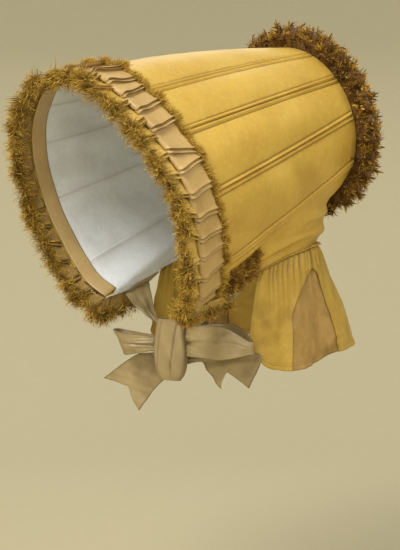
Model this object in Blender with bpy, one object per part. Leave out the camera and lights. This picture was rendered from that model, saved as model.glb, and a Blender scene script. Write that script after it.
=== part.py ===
"""A gold silk bonnet of the 1830s to 1840s, with fringed ruches, a neck curtain and a tied ribbon bow.

Metres, +Z up. The wearer faces -Y and the wearer's left is +X. The origin is the place
on the inside of the lining where the top of the wearer's head rests.
Lengths are measured first from the middle of the rear edge and are then moved to the origin.
"""
import bpy
import bmesh
import math
from mathutils import Vector

# Sizes of the body
GAP = 0.0003
REAR_HALF = 0.078
REAR_LEAN = 17.0
REAR_BACK = -0.012
REAR_UP = -0.007
BRIM_HALF = 0.1115
BRIM_TALL = 0.216
BRIM_TOP_UP = 0.028
BRIM_LEAN_RUN = 0.086
BODY_LONG = 0.299
NECK_HALF = 0.076
WALL = 0.0022
LINING_WALL = 0.0010
LINING_GAP = 0.00045
TRIM_WALL = 0.0012
RIBBON_WALL = 0.0010
PANEL_PUFF = 0.0045
NAPE_PUFF = 0.0040
BARREL = 0.0015
CORD_HIGH = 0.0016
CORD_APART = 0.0052
SEAT_SHARE = 0.36
CORNER_TURN = 129.0
FRONT_CORNER = 135.0

# Sizes of the trims
BINDING_WIDE = 0.016
BINDING_WALL = 0.0015
LINING_SHORT = 0.0015
RUCHE_WIDE = 0.027
RUCHE_FRINGE = 0.009
RUCHE_HIGH = 0.0040
FRILL_WIDE = 0.020
FRILL_FRINGE = 0.011
FRILL_WAVE = 1.4
FRILL_INWARD = 0.12
WRAP_TURN = 6.5
WRAP_COLUMNS = 9
WRAP_LEFT = 0.62
WRAP_RIGHT = 1.05
WRAP_GAP = 0.0003
NECK_COLUMN = 136.0
WRAP_SWING = 0.6
WRAP_SLIDE = 0.45
WRAP_CREEP = 0.02
PLEATS = 30
MARKS = 240
CROWN_RUCHE_LONG = 0.028
CROWN_RUCHE_THICK = 0.013
CROWN_RUCHE_ROOT_OUT = -0.0010
CROWN_RUCHE_ROOT_BEHIND = 0.0021
CROWN_TUFTS = 32
CURTAIN_WALL = 0.0014
CURTAIN_DROP = 0.249
CURTAIN_SEAM = 0.0010
CURTAIN_LIFT = WALL / 2.0 + GAP
CURTAIN_FLARE = 1.35
CURTAIN_CENTRE = 0.25
PANEL_SLIT = 0.004
HEADING_HIGH = 0.0045
GATHERS = 26
HEADING_WAVE = 0.0011
HEADING_ROOT = 0.4
TIGHT_WAVE = 0.0010
TIGHT_FADE = 6.0
SOFT_WAVE = 0.0022
SOFT_GROW = 1.4
SOFT_RATE = 0.23
SOFT_PHASE = 0.7
CURTAIN_CLEAR = 0.0012
RIBBON_WIDE = 0.050
TIP_DOME = 0.007

# Brim edge from the top to the corner: turn, share of BRIM_HALF out, share of BRIM_LEAN_RUN
# back, share of BRIM_TALL down
BRIM = (
    (0.0, 0.000, 0.000, 0.000),
    (14.0, 0.340, 0.012, 0.023),
    (28.0, 0.610, 0.081, 0.120),
    (42.0, 0.807, 0.192, 0.232),
    (57.0, 0.942, 0.337, 0.361),
    (72.0, 1.000, 0.471, 0.477),
    (86.0, 0.995, 0.581, 0.593),
    (100.0, 0.942, 0.698, 0.708),
    (114.0, 0.852, 0.808, 0.824),
    (126.0, 0.745, 0.905, 0.915),
    (135.0, 0.570, 0.980, 0.972),
)

# Neck edge from the corner to the nape: turn, share of NECK_HALF out, share of BODY_LONG
# forward, share of BRIM_TALL down from the brim top
NECK = (
    (135.0, 0.836, 0.7181, 0.972),
    (141.0, 0.895, 0.5719, 0.926),
    (147.0, 0.908, 0.4833, 0.861),
    (155.0, 0.868, 0.3679, 0.806),
    (163.0, 0.763, 0.2140, 0.759),
    (171.0, 0.526, 0.0903, 0.736),
    (180.0, 0.000, 0.0334, 0.731),
)

# Where each generator leaves the rear edge and where it meets the brim: rear turn, brim turn
FAN = (
    (0.0, 0.0),
    (28.0, 28.0),
    (57.0, 48.0),
    (86.0, 80.0),
    (122.0, 117.0),
    (129.0, 135.0),
    (136.0, 141.0),
    (143.0, 147.0),
    (152.0, 155.0),
    (162.0, 163.0),
    (180.0, 180.0),
)
RIB_TURNS = (28.0, 57.0, 86.0, 122.0)

# Section across a rib pair: side step as a share of CORD_APART, lift as a share of CORD_HIGH
RIB_SECTION = (
    (-1.00, 0.00),
    (-0.50, 1.00),
    (0.00, 0.05),
    (0.50, 1.00),
    (1.00, 0.00),
)
PANEL_TURNS = (14.0, 36.0, 43.0, 50.0, 64.0, 71.5, 79.0, 94.0, 104.0, 114.0,
               CORNER_TURN, NECK_COLUMN, 143.0, 149.0, 155.0, 161.0, 167.0, 173.5)
LENGTH_STEPS = (0.0, 0.03, 0.18, 0.40, 0.63, 0.86, 1.0)
LINING_STEPS = (0.0, 0.18, 0.40, 0.63, 0.86, 1.0)

# One pleat: share of the pleat round, lift as a share of RUCHE_HIGH
PLEAT = (
    (0.00, 0.10),
    (0.18, 1.00),
    (0.62, 0.52),
)
# Ragged length of the fringe, one share a column in turn
FRAY = (1.00, 0.72, 0.94, 0.80, 1.06, 0.70, 0.98)

# Lower edge of the curtain from the side front to the centre back: share of the way round,
# share of NECK_HALF out, share of BODY_LONG forward (behind is below nought), share of
# CURTAIN_DROP down
HEM = (
    (0.00, 0.921, 0.4850, 0.880),
    (0.06, 0.974, 0.4400, 0.965),
    (0.14, 1.026, 0.3900, 0.992),
    (0.33, 1.079, 0.3177, 1.000),
    (0.52, 1.092, 0.2100, 0.975),
    (0.67, 1.053, 0.1271, 0.948),
    (0.80, 0.850, -0.0100, 0.936),
    (0.90, 0.500, -0.0950, 0.932),
    (1.00, 0.000, -0.1350, 0.930),
)
CURTAIN_START = 146.0
SIDE_SHARE = 0.33
INSET_SHARE = 0.67
INSET_MEET = 0.57
INSET_START = 0.012
# Opening of an inset: share down the curtain, share of its full spread
INSET_OPEN = (
    (0.17, 0.00),
    (0.22, 0.28),
    (0.34, 0.48),
    (0.60, 0.74),
    (1.00, 1.00),
)
CURTAIN_ABOVE = (-1.0, 0.0, 0.08)

# Bow, in shares of RIBBON_WIDE. A row of a loop is a line across the ribbon: the out and up of
# its lower edge and of its upper edge, with out counted from the knot's side, then the share ahead
LOOP_LEFT = (
    (0.00, -0.10, 0.00, 0.22, 0.00),
    (0.34, -0.12, 0.24, 0.24, 0.16),
    (0.62, -0.15, 0.66, 0.27, 0.19),
    (0.78, 0.06, 1.02, 0.30, 0.05),
)
LOOP_RIGHT = (
    (0.00, -0.12, 0.00, 0.46, 0.00),
    (0.44, -0.10, 0.48, 0.52, 0.20),
    (0.92, -0.10, 0.90, 0.55, 0.26),
    (1.24, -0.04, 1.17, 0.46, 0.20),
    (1.44, 0.02, 1.44, 0.27, 0.03),
)
LOOP_BACK = 0.10
LOOP_BACK_SHARE = 0.35
LOOP_TURN = (0.05, 0.07)
LOOP_ACROSS = (0.0, 0.33, 0.67, 1.0)
LOOP_BEND = 0.03
# A row of a tail is the same, with out and ahead counted from the middle of the knot
TAIL_LEFT = (
    (0.06, -0.46, 0.18, -0.03, 0.00),
    (0.56, -0.86, 0.98, -0.20, -0.06),
    (0.92, -1.32, 1.82, -0.74, -0.04),
)
TAIL_LEFT_NOTCH = (1.20, -0.86)
TAIL_RIGHT = (
    (0.06, -0.36, 0.18, -0.03, 0.00),
    (0.55, -0.24, 1.80, 0.02, -0.08),
    (0.68, -0.38, 1.90, -0.10, -0.07),
    (1.00, -0.72, 1.62, -0.66, -0.08),
)
TAIL_RIGHT_NOTCH = (1.12, -0.38)
TAIL_ACROSS = (0.0, 0.25, 0.5, 0.75, 1.0)
TAIL_BEND = 0.02
KNOT_TALL = 0.058
KNOT_WIDE = 0.035
KNOT_DEEP = 0.015
KNOT_BACK = 0.1827
KNOT_DOWN = 0.229
KNOT_SIDES = 10
KNOT_SQUARE = (0.5, 0.7)
# Levels of the knot: share of its height, share of its width, share of its depth
KNOT_LEVELS = (
    (-0.52, 0.62, 0.50),
    (-0.36, 0.92, 0.85),
    (-0.05, 1.05, 1.00),
    (0.25, 0.95, 1.00),
    (0.50, 0.86, 0.70),
)
KNOT_SIDE = KNOT_WIDE / 2.0 * max(wide for _, wide, _ in KNOT_LEVELS) + GAP
BOW_YAW = 15.0
# Ends of a tie at the knot's back, in shares of RIBBON_WIDE: out and up, front edge, back edge
TIE_END = ((0.08, 0.30), (0.20, 0.10))
TIE_TURNS = (133.0, 140.0)
TIE_TOP_SHARE = 0.93
TIE_EDGE_SHARE = 1.01
TIE_EDGE_IN = 0.0012
TIE_CLEAR = 0.0006
# Middle of a tie's path, in shares of RIBBON_WIDE: out, up and ahead, front edge, back edge
TIE_LEFT_MID = ((0.95, 0.62, -0.36), (1.15, 0.85, -0.40))
TIE_RIGHT_MID = ((0.80, 0.56, -0.17), (0.80, 0.68, -0.48))
TIE_STEPS = 6
TIE_ACROSS = 4

# Section of the crown ruche: share of its length out, share of its thickness to the side
CROWN_RUCHE_SECTION = (
    (0.02, -0.15),
    (0.50, -0.60),
    (0.93, -0.42),
    (1.00, 0.10),
    (0.60, 0.50),
    (0.02, 0.15),
)
CROWN_RUCHE_TILT = 52.0
# One tuft of the crown ruche, column by column, as a share of its full size
TUFT = (1.0, 0.86, 0.70)
TUFT_DEPTH = 0.55
TUFT_SWELL = 0.4

# Crown tip and lining disc: share of the radius, share of TIP_DOME
TIP_RINGS = (
    (0.40, 0.86),
    (0.78, 0.42),
    (1.00, 0.00),
)
TIP_COLUMNS = 24
LINING_START = 0.012
LINING_DISC_IN = 0.0030

# Rows of the pleated strips from the seam to the fringe: share of the width, share of the lift
RUCHE_ROWS = ((0.0, 0.45), (0.30, 1.00), (1.00, 1.0), (1.33, 0.80))
FRILL_ROWS = ((0.0, 0.0), (0.35, 0.75), (1.0, 1.30), (1.5, 1.0))
NECK_TRIM_ROWS = ((0.03, 0.1), (0.25, 0.9), (0.5, 0.6), (0.78, 0.9), (1.0, 0.2))
NECK_TRIM_COLUMNS = 13
NECK_TRIM_CLEAR = (5.0, 0.8)
NECK_TRIM_TOP_TURN = 127.0
NECK_TRIM_TOP_SHARES = (0.82, 0.645)
NECK_TRIM_FRAY = 0.35
NECK_TRIM_WAVE = (0.45, 0.9)

DIFF_TURN = 1.5
DIFF_SHARE = 0.02


def blend(table, key):
    """Smooth values of a table whose first column is the key."""
    last = len(table) - 1
    at = 0
    while at < last - 1 and key > table[at + 1][0]:
        at += 1
    low, high = table[at], table[at + 1]
    span = high[0] - low[0]
    part = min(max((key - low[0]) / span, 0.0), 1.0)
    before = table[at - 1] if at > 0 else low
    after = table[at + 2] if at + 2 <= last else high
    values = []
    for col in range(1, len(low)):
        rise_low = (high[col] - before[col]) / (high[0] - before[0]) * span
        rise_high = (after[col] - low[col]) / (after[0] - low[0]) * span
        values.append(
            (2 * part ** 3 - 3 * part ** 2 + 1) * low[col]
            + (part ** 3 - 2 * part ** 2 + part) * rise_low
            + (3 * part ** 2 - 2 * part ** 3) * high[col]
            + (part ** 3 - part ** 2) * rise_high
        )
    return values


def straight(table, key):
    """Values of a two-column table, joined by straight lines."""
    for low, high in zip(table, table[1:]):
        if key <= high[0]:
            part = (key - low[0]) / (high[0] - low[0])
            return low[1] + (high[1] - low[1]) * part
    return table[-1][1]


def folded(turn):
    """Turn and side: 0 to 180 degrees from the top, and +1 for the wearer's left."""
    turn = (turn + 180.0) % 360.0 - 180.0
    return abs(turn), 1.0 if turn >= 0.0 else -1.0


def rear_point(turn, share=1.0, behind=0.0):
    """Point of the rear edge, in the plane that leans with its top forward."""
    angle = math.radians(turn)
    lean = math.radians(REAR_LEAN)
    up = REAR_HALF * share * math.cos(angle)
    return Vector((
        REAR_HALF * share * math.sin(angle),
        REAR_BACK - up * math.sin(lean) + behind * math.cos(lean),
        REAR_UP + up * math.cos(lean) + behind * math.sin(lean),
    ))


def front_point(turn):
    """Point of the brim edge, or of the neck edge past the corner."""
    turn, side = folded(turn)
    if turn <= FRONT_CORNER:
        out, back, down = blend(BRIM, turn)
        return Vector((
            side * out * BRIM_HALF,
            back * BRIM_LEAN_RUN - BODY_LONG,
            BRIM_TOP_UP - down * BRIM_TALL,
        ))
    out, ahead, down = blend(NECK, turn)
    return Vector((
        side * out * NECK_HALF,
        -ahead * BODY_LONG,
        BRIM_TOP_UP - down * BRIM_TALL,
    ))


def plain_point(turn, share):
    """Point of the body without puffs, on the line from the rear edge to the front edge."""
    size, side = folded(turn)
    rear = rear_point(turn)
    front = front_point(side * straight(FAN, size))
    return rear.lerp(front, share)


def puff(turn, share):
    """Height of the soft puff between the rib pairs."""
    size = folded(turn)[0]
    stops = (-RIB_TURNS[0],) + RIB_TURNS + (360.0 - RIB_TURNS[-1],)
    swell = max(math.sin(math.pi * min(max(share, 0.0), 1.0)), 0.0)
    for low, high in zip(stops, stops[1:]):
        if low <= size <= high:
            part = (size - low) / (high - low)
            tall = NAPE_PUFF if low == RIB_TURNS[-1] else PANEL_PUFF
            return swell * (BARREL + tall * 4.0 * part * (1.0 - part))
    return 0.0


def slope_normal(point_of, turn, share):
    """Outward direction of a surface given as point_of(turn, share)."""
    low = max(share - DIFF_SHARE, 0.0)
    high = min(share + DIFF_SHARE, 1.0)
    along = point_of(turn, high) - point_of(turn, low)
    around = point_of(turn + DIFF_TURN, share) - point_of(turn - DIFF_TURN, share)
    return along.cross(around).normalized()


def puffed_point(turn, share):
    """Middle of the wall, with its puffs."""
    return plain_point(turn, share) + slope_normal(plain_point, turn, share) * puff(turn, share)


def wall_point(turn, share, lift=0.0):
    """Point of the body, lifted outward from the middle of the wall."""
    return puffed_point(turn, share) + slope_normal(puffed_point, turn, share) * lift


def turn_rate(turn, share):
    """Length round the body for one degree of turn."""
    return (plain_point(turn + 1.0, share) - plain_point(turn - 1.0, share)).length / 2.0


def line_long(turn):
    """Length of the body along one generator."""
    return (plain_point(turn, 1.0) - plain_point(turn, 0.0)).length


SHIFT = -wall_point(0.0, SEAT_SHARE, -WALL / 2.0 - LINING_GAP - LINING_WALL)


def material(name, colour, rough):
    """Plain coloured cloth."""
    mat = bpy.data.materials.new(name)
    mat.use_nodes = True
    shader = mat.node_tree.nodes["Principled BSDF"]
    shader.inputs["Base Color"].default_value = (*colour, 1.0)
    shader.inputs["Roughness"].default_value = rough
    return mat


def add_mesh(name, points, faces, look, smooth=True):
    """Put one closed mesh into the scene, moved to the origin, facing out."""
    mesh = bpy.data.meshes.new(name)
    mesh.from_pydata([tuple(p + SHIFT) for p in points], [], faces)
    work = bmesh.new()
    work.from_mesh(mesh)
    bmesh.ops.recalc_face_normals(work, faces=work.faces)
    work.to_mesh(mesh)
    work.free()
    for face in mesh.polygons:
        face.use_smooth = smooth
    obj = bpy.data.objects.new(name, mesh)
    bpy.context.collection.objects.link(obj)
    mesh.materials.append(look)
    return obj


def skin_faces(rows, cols, start, closed):
    """Quads of one grid of points."""
    faces = []
    last = cols if closed else cols - 1
    for row in range(rows - 1):
        for col in range(last):
            nxt = (col + 1) % cols
            a = start + row * cols
            faces.append((a + col, a + nxt, a + cols + nxt, a + cols + col))
    return faces


def two_skins(name, outer, inner, look, closed=False, smooth=True):
    """Closed sheet between two grids of points of the same size."""
    rows, cols = len(outer), len(outer[0])
    points = [p for row in outer for p in row] + [p for row in inner for p in row]
    other = rows * cols
    faces = skin_faces(rows, cols, 0, closed) + skin_faces(rows, cols, other, closed)
    last = cols if closed else cols - 1
    for row in (0, rows - 1):
        for col in range(last):
            a, b = row * cols + col, row * cols + (col + 1) % cols
            faces.append((a, b, other + b, other + a))
    if not closed:
        for col in (0, cols - 1):
            for row in range(rows - 1):
                a, b = row * cols + col, (row + 1) * cols + col
                faces.append((a, b, other + b, other + a))
    return add_mesh(name, points, faces, look, smooth)


def cup(name, outer, inner, outer_pole, inner_pole, look):
    """Closed sheet like two_skins that goes round, with its first rows closed by a pole each."""
    rows, cols = len(outer), len(outer[0])
    points = [p for row in outer for p in row] + [p for row in inner for p in row]
    other = rows * cols
    points += [outer_pole, inner_pole]
    faces = skin_faces(rows, cols, 0, True) + skin_faces(rows, cols, other, True)
    for col in range(cols):
        nxt = (col + 1) % cols
        a = (rows - 1) * cols
        faces.append((a + col, a + nxt, other + a + nxt, other + a + col))
        faces.append((nxt, col, 2 * other))
        faces.append((other + nxt, other + col, 2 * other + 1))
    return add_mesh(name, points, faces, look)


def half_columns():
    """Columns of the left half, as turn, side step and cord lift, in order round the body."""
    columns = [(turn, 0.0, 0.0) for turn in PANEL_TURNS]
    for rib in RIB_TURNS:
        columns += [(rib, step * CORD_APART, lift) for step, lift in RIB_SECTION]
    return sorted(columns, key=lambda c: (c[0], c[1]))


def body_columns():
    """All columns once round, from the nape up the right side and down the left."""
    half = half_columns()
    right = [(-turn, -step, lift) for turn, step, lift in reversed(half)]
    return [(-180.0, 0.0, 0.0)] + right + [(0.0, 0.0, 0.0)] + half


def column_turn(column, share):
    """Turn of a column at a station, with its side step."""
    turn, step, _ = column
    return turn + (step / turn_rate(turn, share) if step else 0.0)


def body_row(columns, share_of, lift_of):
    """One row of points over columns."""
    row = []
    for column in columns:
        share = share_of(column[0])
        row.append(wall_point(column_turn(column, share), share, lift_of(column)))
    return row


def make_shell(look):
    """The stiffened silk body with its rib pairs."""
    columns = body_columns()
    outer = []
    inner = []
    for share in LENGTH_STEPS:
        high = CORD_HIGH if 0.0 < share < 1.0 else 0.0
        outer.append(body_row(columns, lambda t: share, lambda c: WALL / 2.0 + c[2] * high))
        inner.append(body_row(columns, lambda t: share, lambda c: -WALL / 2.0))
    return two_skins("crown_shell", outer, inner, look, closed=True)


def lining_end(turn):
    """Share of the length where the lining stops: at the binding, or just short of the neck edge."""
    size = folded(turn)[0]
    short = BINDING_WIDE if size <= CORNER_TURN else LINING_SHORT
    return 1.0 - (short + GAP) / line_long(turn)


def make_lining(look):
    """Ivory lining inside the body, closed at the back by its own disc."""
    columns = [c for c in body_columns() if c[1] == 0.0]
    outer_lift = -WALL / 2.0 - LINING_GAP
    inner_lift = outer_lift - LINING_WALL
    outer = []
    inner = []
    for step in LINING_STEPS:
        outer_share = lambda t: lining_share(step, t, LINING_START)
        inner_share = lambda t: lining_share(step, t, LINING_START + LINING_WALL / line_long(t))
        outer.append(body_row(columns, outer_share, lambda c: outer_lift))
        inner.append(body_row(columns, inner_share, lambda c: inner_lift))
    outer_pole = rear_point(0.0, 0.0, -LINING_DISC_IN)
    inner_pole = rear_point(0.0, 0.0, -LINING_DISC_IN - LINING_WALL)
    return cup("lining", outer, inner, outer_pole, inner_pole, look)


def lining_share(step, turn, start):
    """Station of the lining: those of the body, but for its start and its end."""
    if step == 0.0:
        return start
    return lining_end(turn) if step == 1.0 else step


def brim_columns(turns):
    """Columns of equal turn steps from corner to corner."""
    return [CORNER_TURN * (2.0 * i / turns - 1.0) for i in range(turns + 1)]


def make_binding(look):
    """Satin band inside the brim edge."""
    columns = [c for c in body_columns() if abs(c[0]) <= CORNER_TURN and c[1] == 0.0]
    high = -WALL / 2.0 - GAP
    low = high - BINDING_WALL
    rows = (BINDING_WIDE, BINDING_WIDE / 2.0, 0.0)
    outer = []
    inner = []
    for back in rows:
        share_of = lambda t: 1.0 - back / line_long(t)
        outer.append(body_row(columns, share_of, lambda c: high))
        inner.append(body_row(columns, share_of, lambda c: low))
    return two_skins("brim_binding", outer, inner, look)


def pleat_columns(count):
    """Turn and pleat lift of every column, spaced evenly along the brim edge."""
    marks = brim_columns(MARKS)
    lengths = [0.0]
    for low, high in zip(marks, marks[1:]):
        lengths.append(lengths[-1] + (wall_point(high, 1.0) - wall_point(low, 1.0)).length)
    columns = []
    for pleat in range(count):
        for part, lift in PLEAT:
            if pleat == 0 and part == 0.0:
                columns.append((marks[0], lift))
                continue
            want = lengths[-1] * (pleat + part) / count
            at = next(i for i in range(len(marks) - 1) if lengths[i + 1] >= want)
            share = (want - lengths[at]) / (lengths[at + 1] - lengths[at])
            columns.append((marks[at] + (marks[at + 1] - marks[at]) * share, lift))
    columns.append((marks[-1], PLEAT[0][1]))
    return columns


def make_ruche(look):
    """Pleated strip that lies on the body behind the brim edge, with a ragged fringe."""
    base = WALL / 2.0 + CORD_HIGH + GAP
    spans = RUCHE_ROWS
    outer = [[] for _ in spans]
    inner = [[] for _ in spans]
    for number, (turn, lift) in enumerate(pleat_columns(PLEATS)):
        fray = FRAY[number % len(FRAY)]
        for row, (reach, swell) in enumerate(spans):
            back = RUCHE_WIDE * reach
            if row == len(spans) - 1:
                back = RUCHE_WIDE + RUCHE_FRINGE * fray
            share = 1.0 - back / line_long(turn)
            rise = base + RUCHE_HIGH * lift * swell
            inner[row].append(wall_point(turn, share, rise))
            outer[row].append(wall_point(turn, share, rise + TRIM_WALL))
    return two_skins("brim_ruche", outer, inner, look, smooth=False)


def edge_frame(turn):
    """Edge point, the way on along the generator, and the outward direction."""
    along = (plain_point(turn, 1.0) - plain_point(turn, 0.9)).normalized()
    return wall_point(turn, 1.0), along, slope_normal(puffed_point, turn, 1.0)


def neck_frame(turn):
    """Neck edge point, the way down square to the edge, and the outward direction."""
    point, along, normal = edge_frame(turn)
    tangent = (wall_point(turn + 1.0, 1.0) - wall_point(turn - 1.0, 1.0)).normalized()
    down = normal.cross(tangent).normalized()
    return point, down if down.z < 0.0 else -down, normal


def frill_frames():
    """Frames along the brim, round each corner and a little way along the neck edge.

    Each is a point, the way out, the outward direction, the pleat lift and a length share.
    """
    frames = [(*edge_frame(turn), lift, 1.0) for turn, lift in pleat_columns(PLEATS)]
    for side, long in ((1.0, WRAP_LEFT), (-1.0, WRAP_RIGHT)):
        along, normal = edge_frame(side * CORNER_TURN)[1:]
        down, last_normal = neck_frame(side * (CORNER_TURN + WRAP_TURN))[1:]
        first = wall_point(side * CORNER_TURN, 1.0)
        last = wall_point(side * NECK_COLUMN, 1.0)
        extra = []
        for number in range(1, WRAP_COLUMNS + 1):
            part = number / WRAP_COLUMNS
            swing = min(part / WRAP_SWING, 1.0)
            slide = max((part - WRAP_SLIDE) / (1.0 - WRAP_SLIDE), 0.0)
            slide = min(slide + WRAP_CREEP * part, 1.0)
            way = (along * (1.0 - swing) + down * swing).normalized()
            reach = slide * WRAP_TURN / (NECK_COLUMN - CORNER_TURN)
            point = first.lerp(last, reach) + way * WRAP_GAP
            lift = PLEAT[number % len(PLEAT)][1]
            outward = normal.lerp(last_normal, part).normalized()
            extra.append((point, way, outward, lift, 1.0 + (long - 1.0) * swing))
        frames = frames + extra if side > 0.0 else list(reversed(extra)) + frames
    return frames


def make_frill(look):
    """Pleated strip that stands forward of the brim edge, with a ragged fringe."""
    spans = FRILL_ROWS
    outer = [[] for _ in spans]
    inner = [[] for _ in spans]
    for number, (point, way, normal, lift, long) in enumerate(frill_frames()):
        fray = FRAY[(number + 3) % len(FRAY)]
        for row, (reach, swell) in enumerate(spans):
            ahead = FRILL_WIDE * reach * long
            if row == len(spans) - 1:
                ahead = (FRILL_WIDE + FRILL_FRINGE * fray) * long
            rise = RUCHE_HIGH * (lift - 0.5) * swell * FRILL_WAVE - ahead * FRILL_INWARD
            place = point + way * (ahead + GAP * 2.0)
            outer[row].append(place + normal * (rise + TRIM_WALL / 2.0))
            inner[row].append(place + normal * (rise - TRIM_WALL / 2.0))
    return two_skins("brim_frill", outer, inner, look, smooth=False)


def make_tip(look):
    """Slightly domed disc that closes the back of the crown."""
    turns = [360.0 * i / TIP_COLUMNS for i in range(TIP_COLUMNS)]
    behind = GAP * 2.0
    outer = []
    inner = []
    for share, dome in TIP_RINGS:
        outer.append([rear_point(t, share, behind + WALL + TIP_DOME * dome) for t in turns])
        inner.append([rear_point(t, share, behind + TIP_DOME * dome) for t in turns])
    outer_pole = rear_point(0.0, 0.0, behind + WALL + TIP_DOME)
    inner_pole = rear_point(0.0, 0.0, behind + TIP_DOME)
    return cup("crown_tip", outer, inner, outer_pole, inner_pole, look)


def crown_ruche_point(turn, out, behind):
    """Point beside the rear edge: out from the edge in its plane and behind the plane."""
    return rear_point(turn, 1.0 + (out + WALL / 2.0) / REAR_HALF, behind)


def make_crown_ruche(look):
    """Frayed ruffle round the rear edge: tufts fused to a band."""
    tilt = math.radians(CROWN_RUCHE_TILT)
    count = CROWN_TUFTS * len(TUFT)
    points = []
    for number in range(count):
        turn = 360.0 * number / count
        fray = FRAY[number % len(FRAY)]
        tuft = TUFT[number % len(TUFT)]
        for reach, side in CROWN_RUCHE_SECTION:
            long = CROWN_RUCHE_LONG * reach * (1.0 - (1.0 - fray * tuft) * TUFT_DEPTH * reach)
            thick = CROWN_RUCHE_THICK * side * (1.0 + TUFT_SWELL * (tuft - TUFT[-1]))
            out = long * math.cos(tilt) - thick * math.sin(tilt) + CROWN_RUCHE_ROOT_OUT
            behind = long * math.sin(tilt) + thick * math.cos(tilt) + CROWN_RUCHE_ROOT_BEHIND
            points.append(crown_ruche_point(turn, out, behind))
    size = len(CROWN_RUCHE_SECTION)
    faces = []
    for at in range(count):
        nxt = (at + 1) % count
        for k in range(size):
            k2 = (k + 1) % size
            faces.append((at * size + k, at * size + k2, nxt * size + k2, nxt * size + k))
    return add_mesh("crown_ruche", points, faces, look, smooth=False)


def neck_trim_point(part, reach, lift):
    """Point of the neck trim: part of the way along it, share of its width up from the neck edge."""
    start = CORNER_TURN + NECK_TRIM_CLEAR[0]
    end = CURTAIN_START - NECK_TRIM_CLEAR[1]
    def bridge(there):
        low = wall_point(start + (end - start) * there, 1.0)
        first, last = NECK_TRIM_TOP_SHARES
        high = wall_point(NECK_TRIM_TOP_TURN, first + (last - first) * there)
        return low, high
    low, high = bridge(part)
    along = (bridge(part + DIFF_SHARE)[0] - bridge(part - DIFF_SHARE)[0]).normalized()
    up = (high - low).normalized()
    return low.lerp(high, reach) + along.cross(up).normalized() * lift


def make_neck_trim(side, name, look):
    """Short fringed strip above the neck edge in front of the curtain."""
    base = WALL / 2.0 + GAP
    spans = NECK_TRIM_ROWS
    outer = [[] for _ in spans]
    inner = [[] for _ in spans]
    for number in range(NECK_TRIM_COLUMNS):
        part = number / (NECK_TRIM_COLUMNS - 1)
        fray = FRAY[number % len(FRAY)]
        for row, (reach, swell) in enumerate(spans):
            edge = row == len(spans) - 1
            share = reach - (1.0 - fray) * NECK_TRIM_FRAY if edge else reach
            rise = base + RUCHE_HIGH * swell * NECK_TRIM_WAVE[number % 2]
            for grid, lift in ((inner, rise), (outer, rise + TRIM_WALL)):
                point = neck_trim_point(part, share, lift)
                grid[row].append(Vector((side * point.x, point.y, point.z)))
    return two_skins(name, outer, inner, look, smooth=False)


def curtain_point(around, down, lift):
    """Point of the curtain: around 0 at the left front to 1 at the back to 2 at the right front."""
    side = 1.0 if around <= 1.0 else -1.0
    near = around if around <= 1.0 else 2.0 - around
    turn = CURTAIN_START + (180.0 - CURTAIN_START) * near
    seam_share = 1.0 - CURTAIN_SEAM / line_long(turn)
    if down <= 0.0:
        share = seam_share + down * HEADING_HIGH / line_long(turn)
        return wall_point(side * turn, share, CURTAIN_LIFT + lift)
    top = wall_point(side * turn, seam_share, CURTAIN_LIFT)
    out, ahead, drop = blend(HEM, near)
    low = Vector((side * out * NECK_HALF, -ahead * BODY_LONG, -drop * CURTAIN_DROP))
    flare = 1.0 - (1.0 - down) ** CURTAIN_FLARE
    point = Vector((
        top.x + (low.x - top.x) * flare,
        top.y + (low.y - top.y) * flare,
        top.z + (low.z - top.z) * down,
    ))
    flat = Vector((low.x, low.y + BODY_LONG * CURTAIN_CENTRE, 0.0)).normalized()
    return point + flat * lift



def gather_wave(around, down):
    """Waves of the gathers: tight at the top, soft and wide below."""
    phase = math.pi * GATHERS * around
    if down <= 0.0:
        return HEADING_WAVE * (1.0 + math.sin(phase)) * (HEADING_ROOT - down)
    tight = TIGHT_WAVE * math.exp(-TIGHT_FADE * down) * math.sin(phase)
    soft = SOFT_WAVE * min(down * SOFT_GROW, 1.0) * math.sin(phase * SOFT_RATE + SOFT_PHASE)
    return CURTAIN_CLEAR + tight + soft


def curtain_panel(name, low_edge, high_edge, downs, columns, look, proud=0.0):
    """One panel of the curtain between two edges given as share round for each depth."""
    outer = []
    inner = []
    for down in downs:
        start, end = low_edge(down), high_edge(down)
        outer_row = []
        inner_row = []
        for col in range(columns):
            around = start + (end - start) * col / (columns - 1)
            wave = gather_wave(around, down) + proud
            inner_row.append(curtain_point(around, down, wave))
            outer_row.append(curtain_point(around, down, wave + CURTAIN_WALL))
        outer.append(outer_row)
        inner.append(inner_row)
    return two_skins(name, outer, inner, look)


def inset_edge(down, spread):
    """Share round of an inset's edge: both edges meet above the inset and open below."""
    part = straight(INSET_OPEN, down) if down > INSET_OPEN[0][0] else 0.0
    return INSET_MEET + (spread - INSET_MEET) * part


def make_curtain(gold, tan):
    """The neck curtain: two side panels, two tan insets and the back, with small gaps between."""
    open_downs = tuple(down for down, _ in INSET_OPEN)
    downs = CURTAIN_ABOVE + open_downs
    lower = (open_downs[0] + INSET_START,) + open_downs[1:]
    for side, word in ((1.0, "left"), (-1.0, "right")):
        def place(value, side=side):
            return value if side > 0.0 else 2.0 - value
        curtain_panel(
            "curtain_side_" + word,
            lambda d: place(0.0),
            lambda d: place(inset_edge(d, SIDE_SHARE) - PANEL_SLIT),
            downs, 18, gold)
        curtain_panel(
            "curtain_inset_" + word,
            lambda d: place(inset_edge(d, SIDE_SHARE) + PANEL_SLIT),
            lambda d: place(inset_edge(d, INSET_SHARE) - PANEL_SLIT),
            lower, 7, tan)
    curtain_panel(
        "curtain_back",
        lambda d: inset_edge(d, INSET_SHARE) + PANEL_SLIT,
        lambda d: 2.0 - inset_edge(d, INSET_SHARE) - PANEL_SLIT,
        downs, 30, gold)


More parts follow.
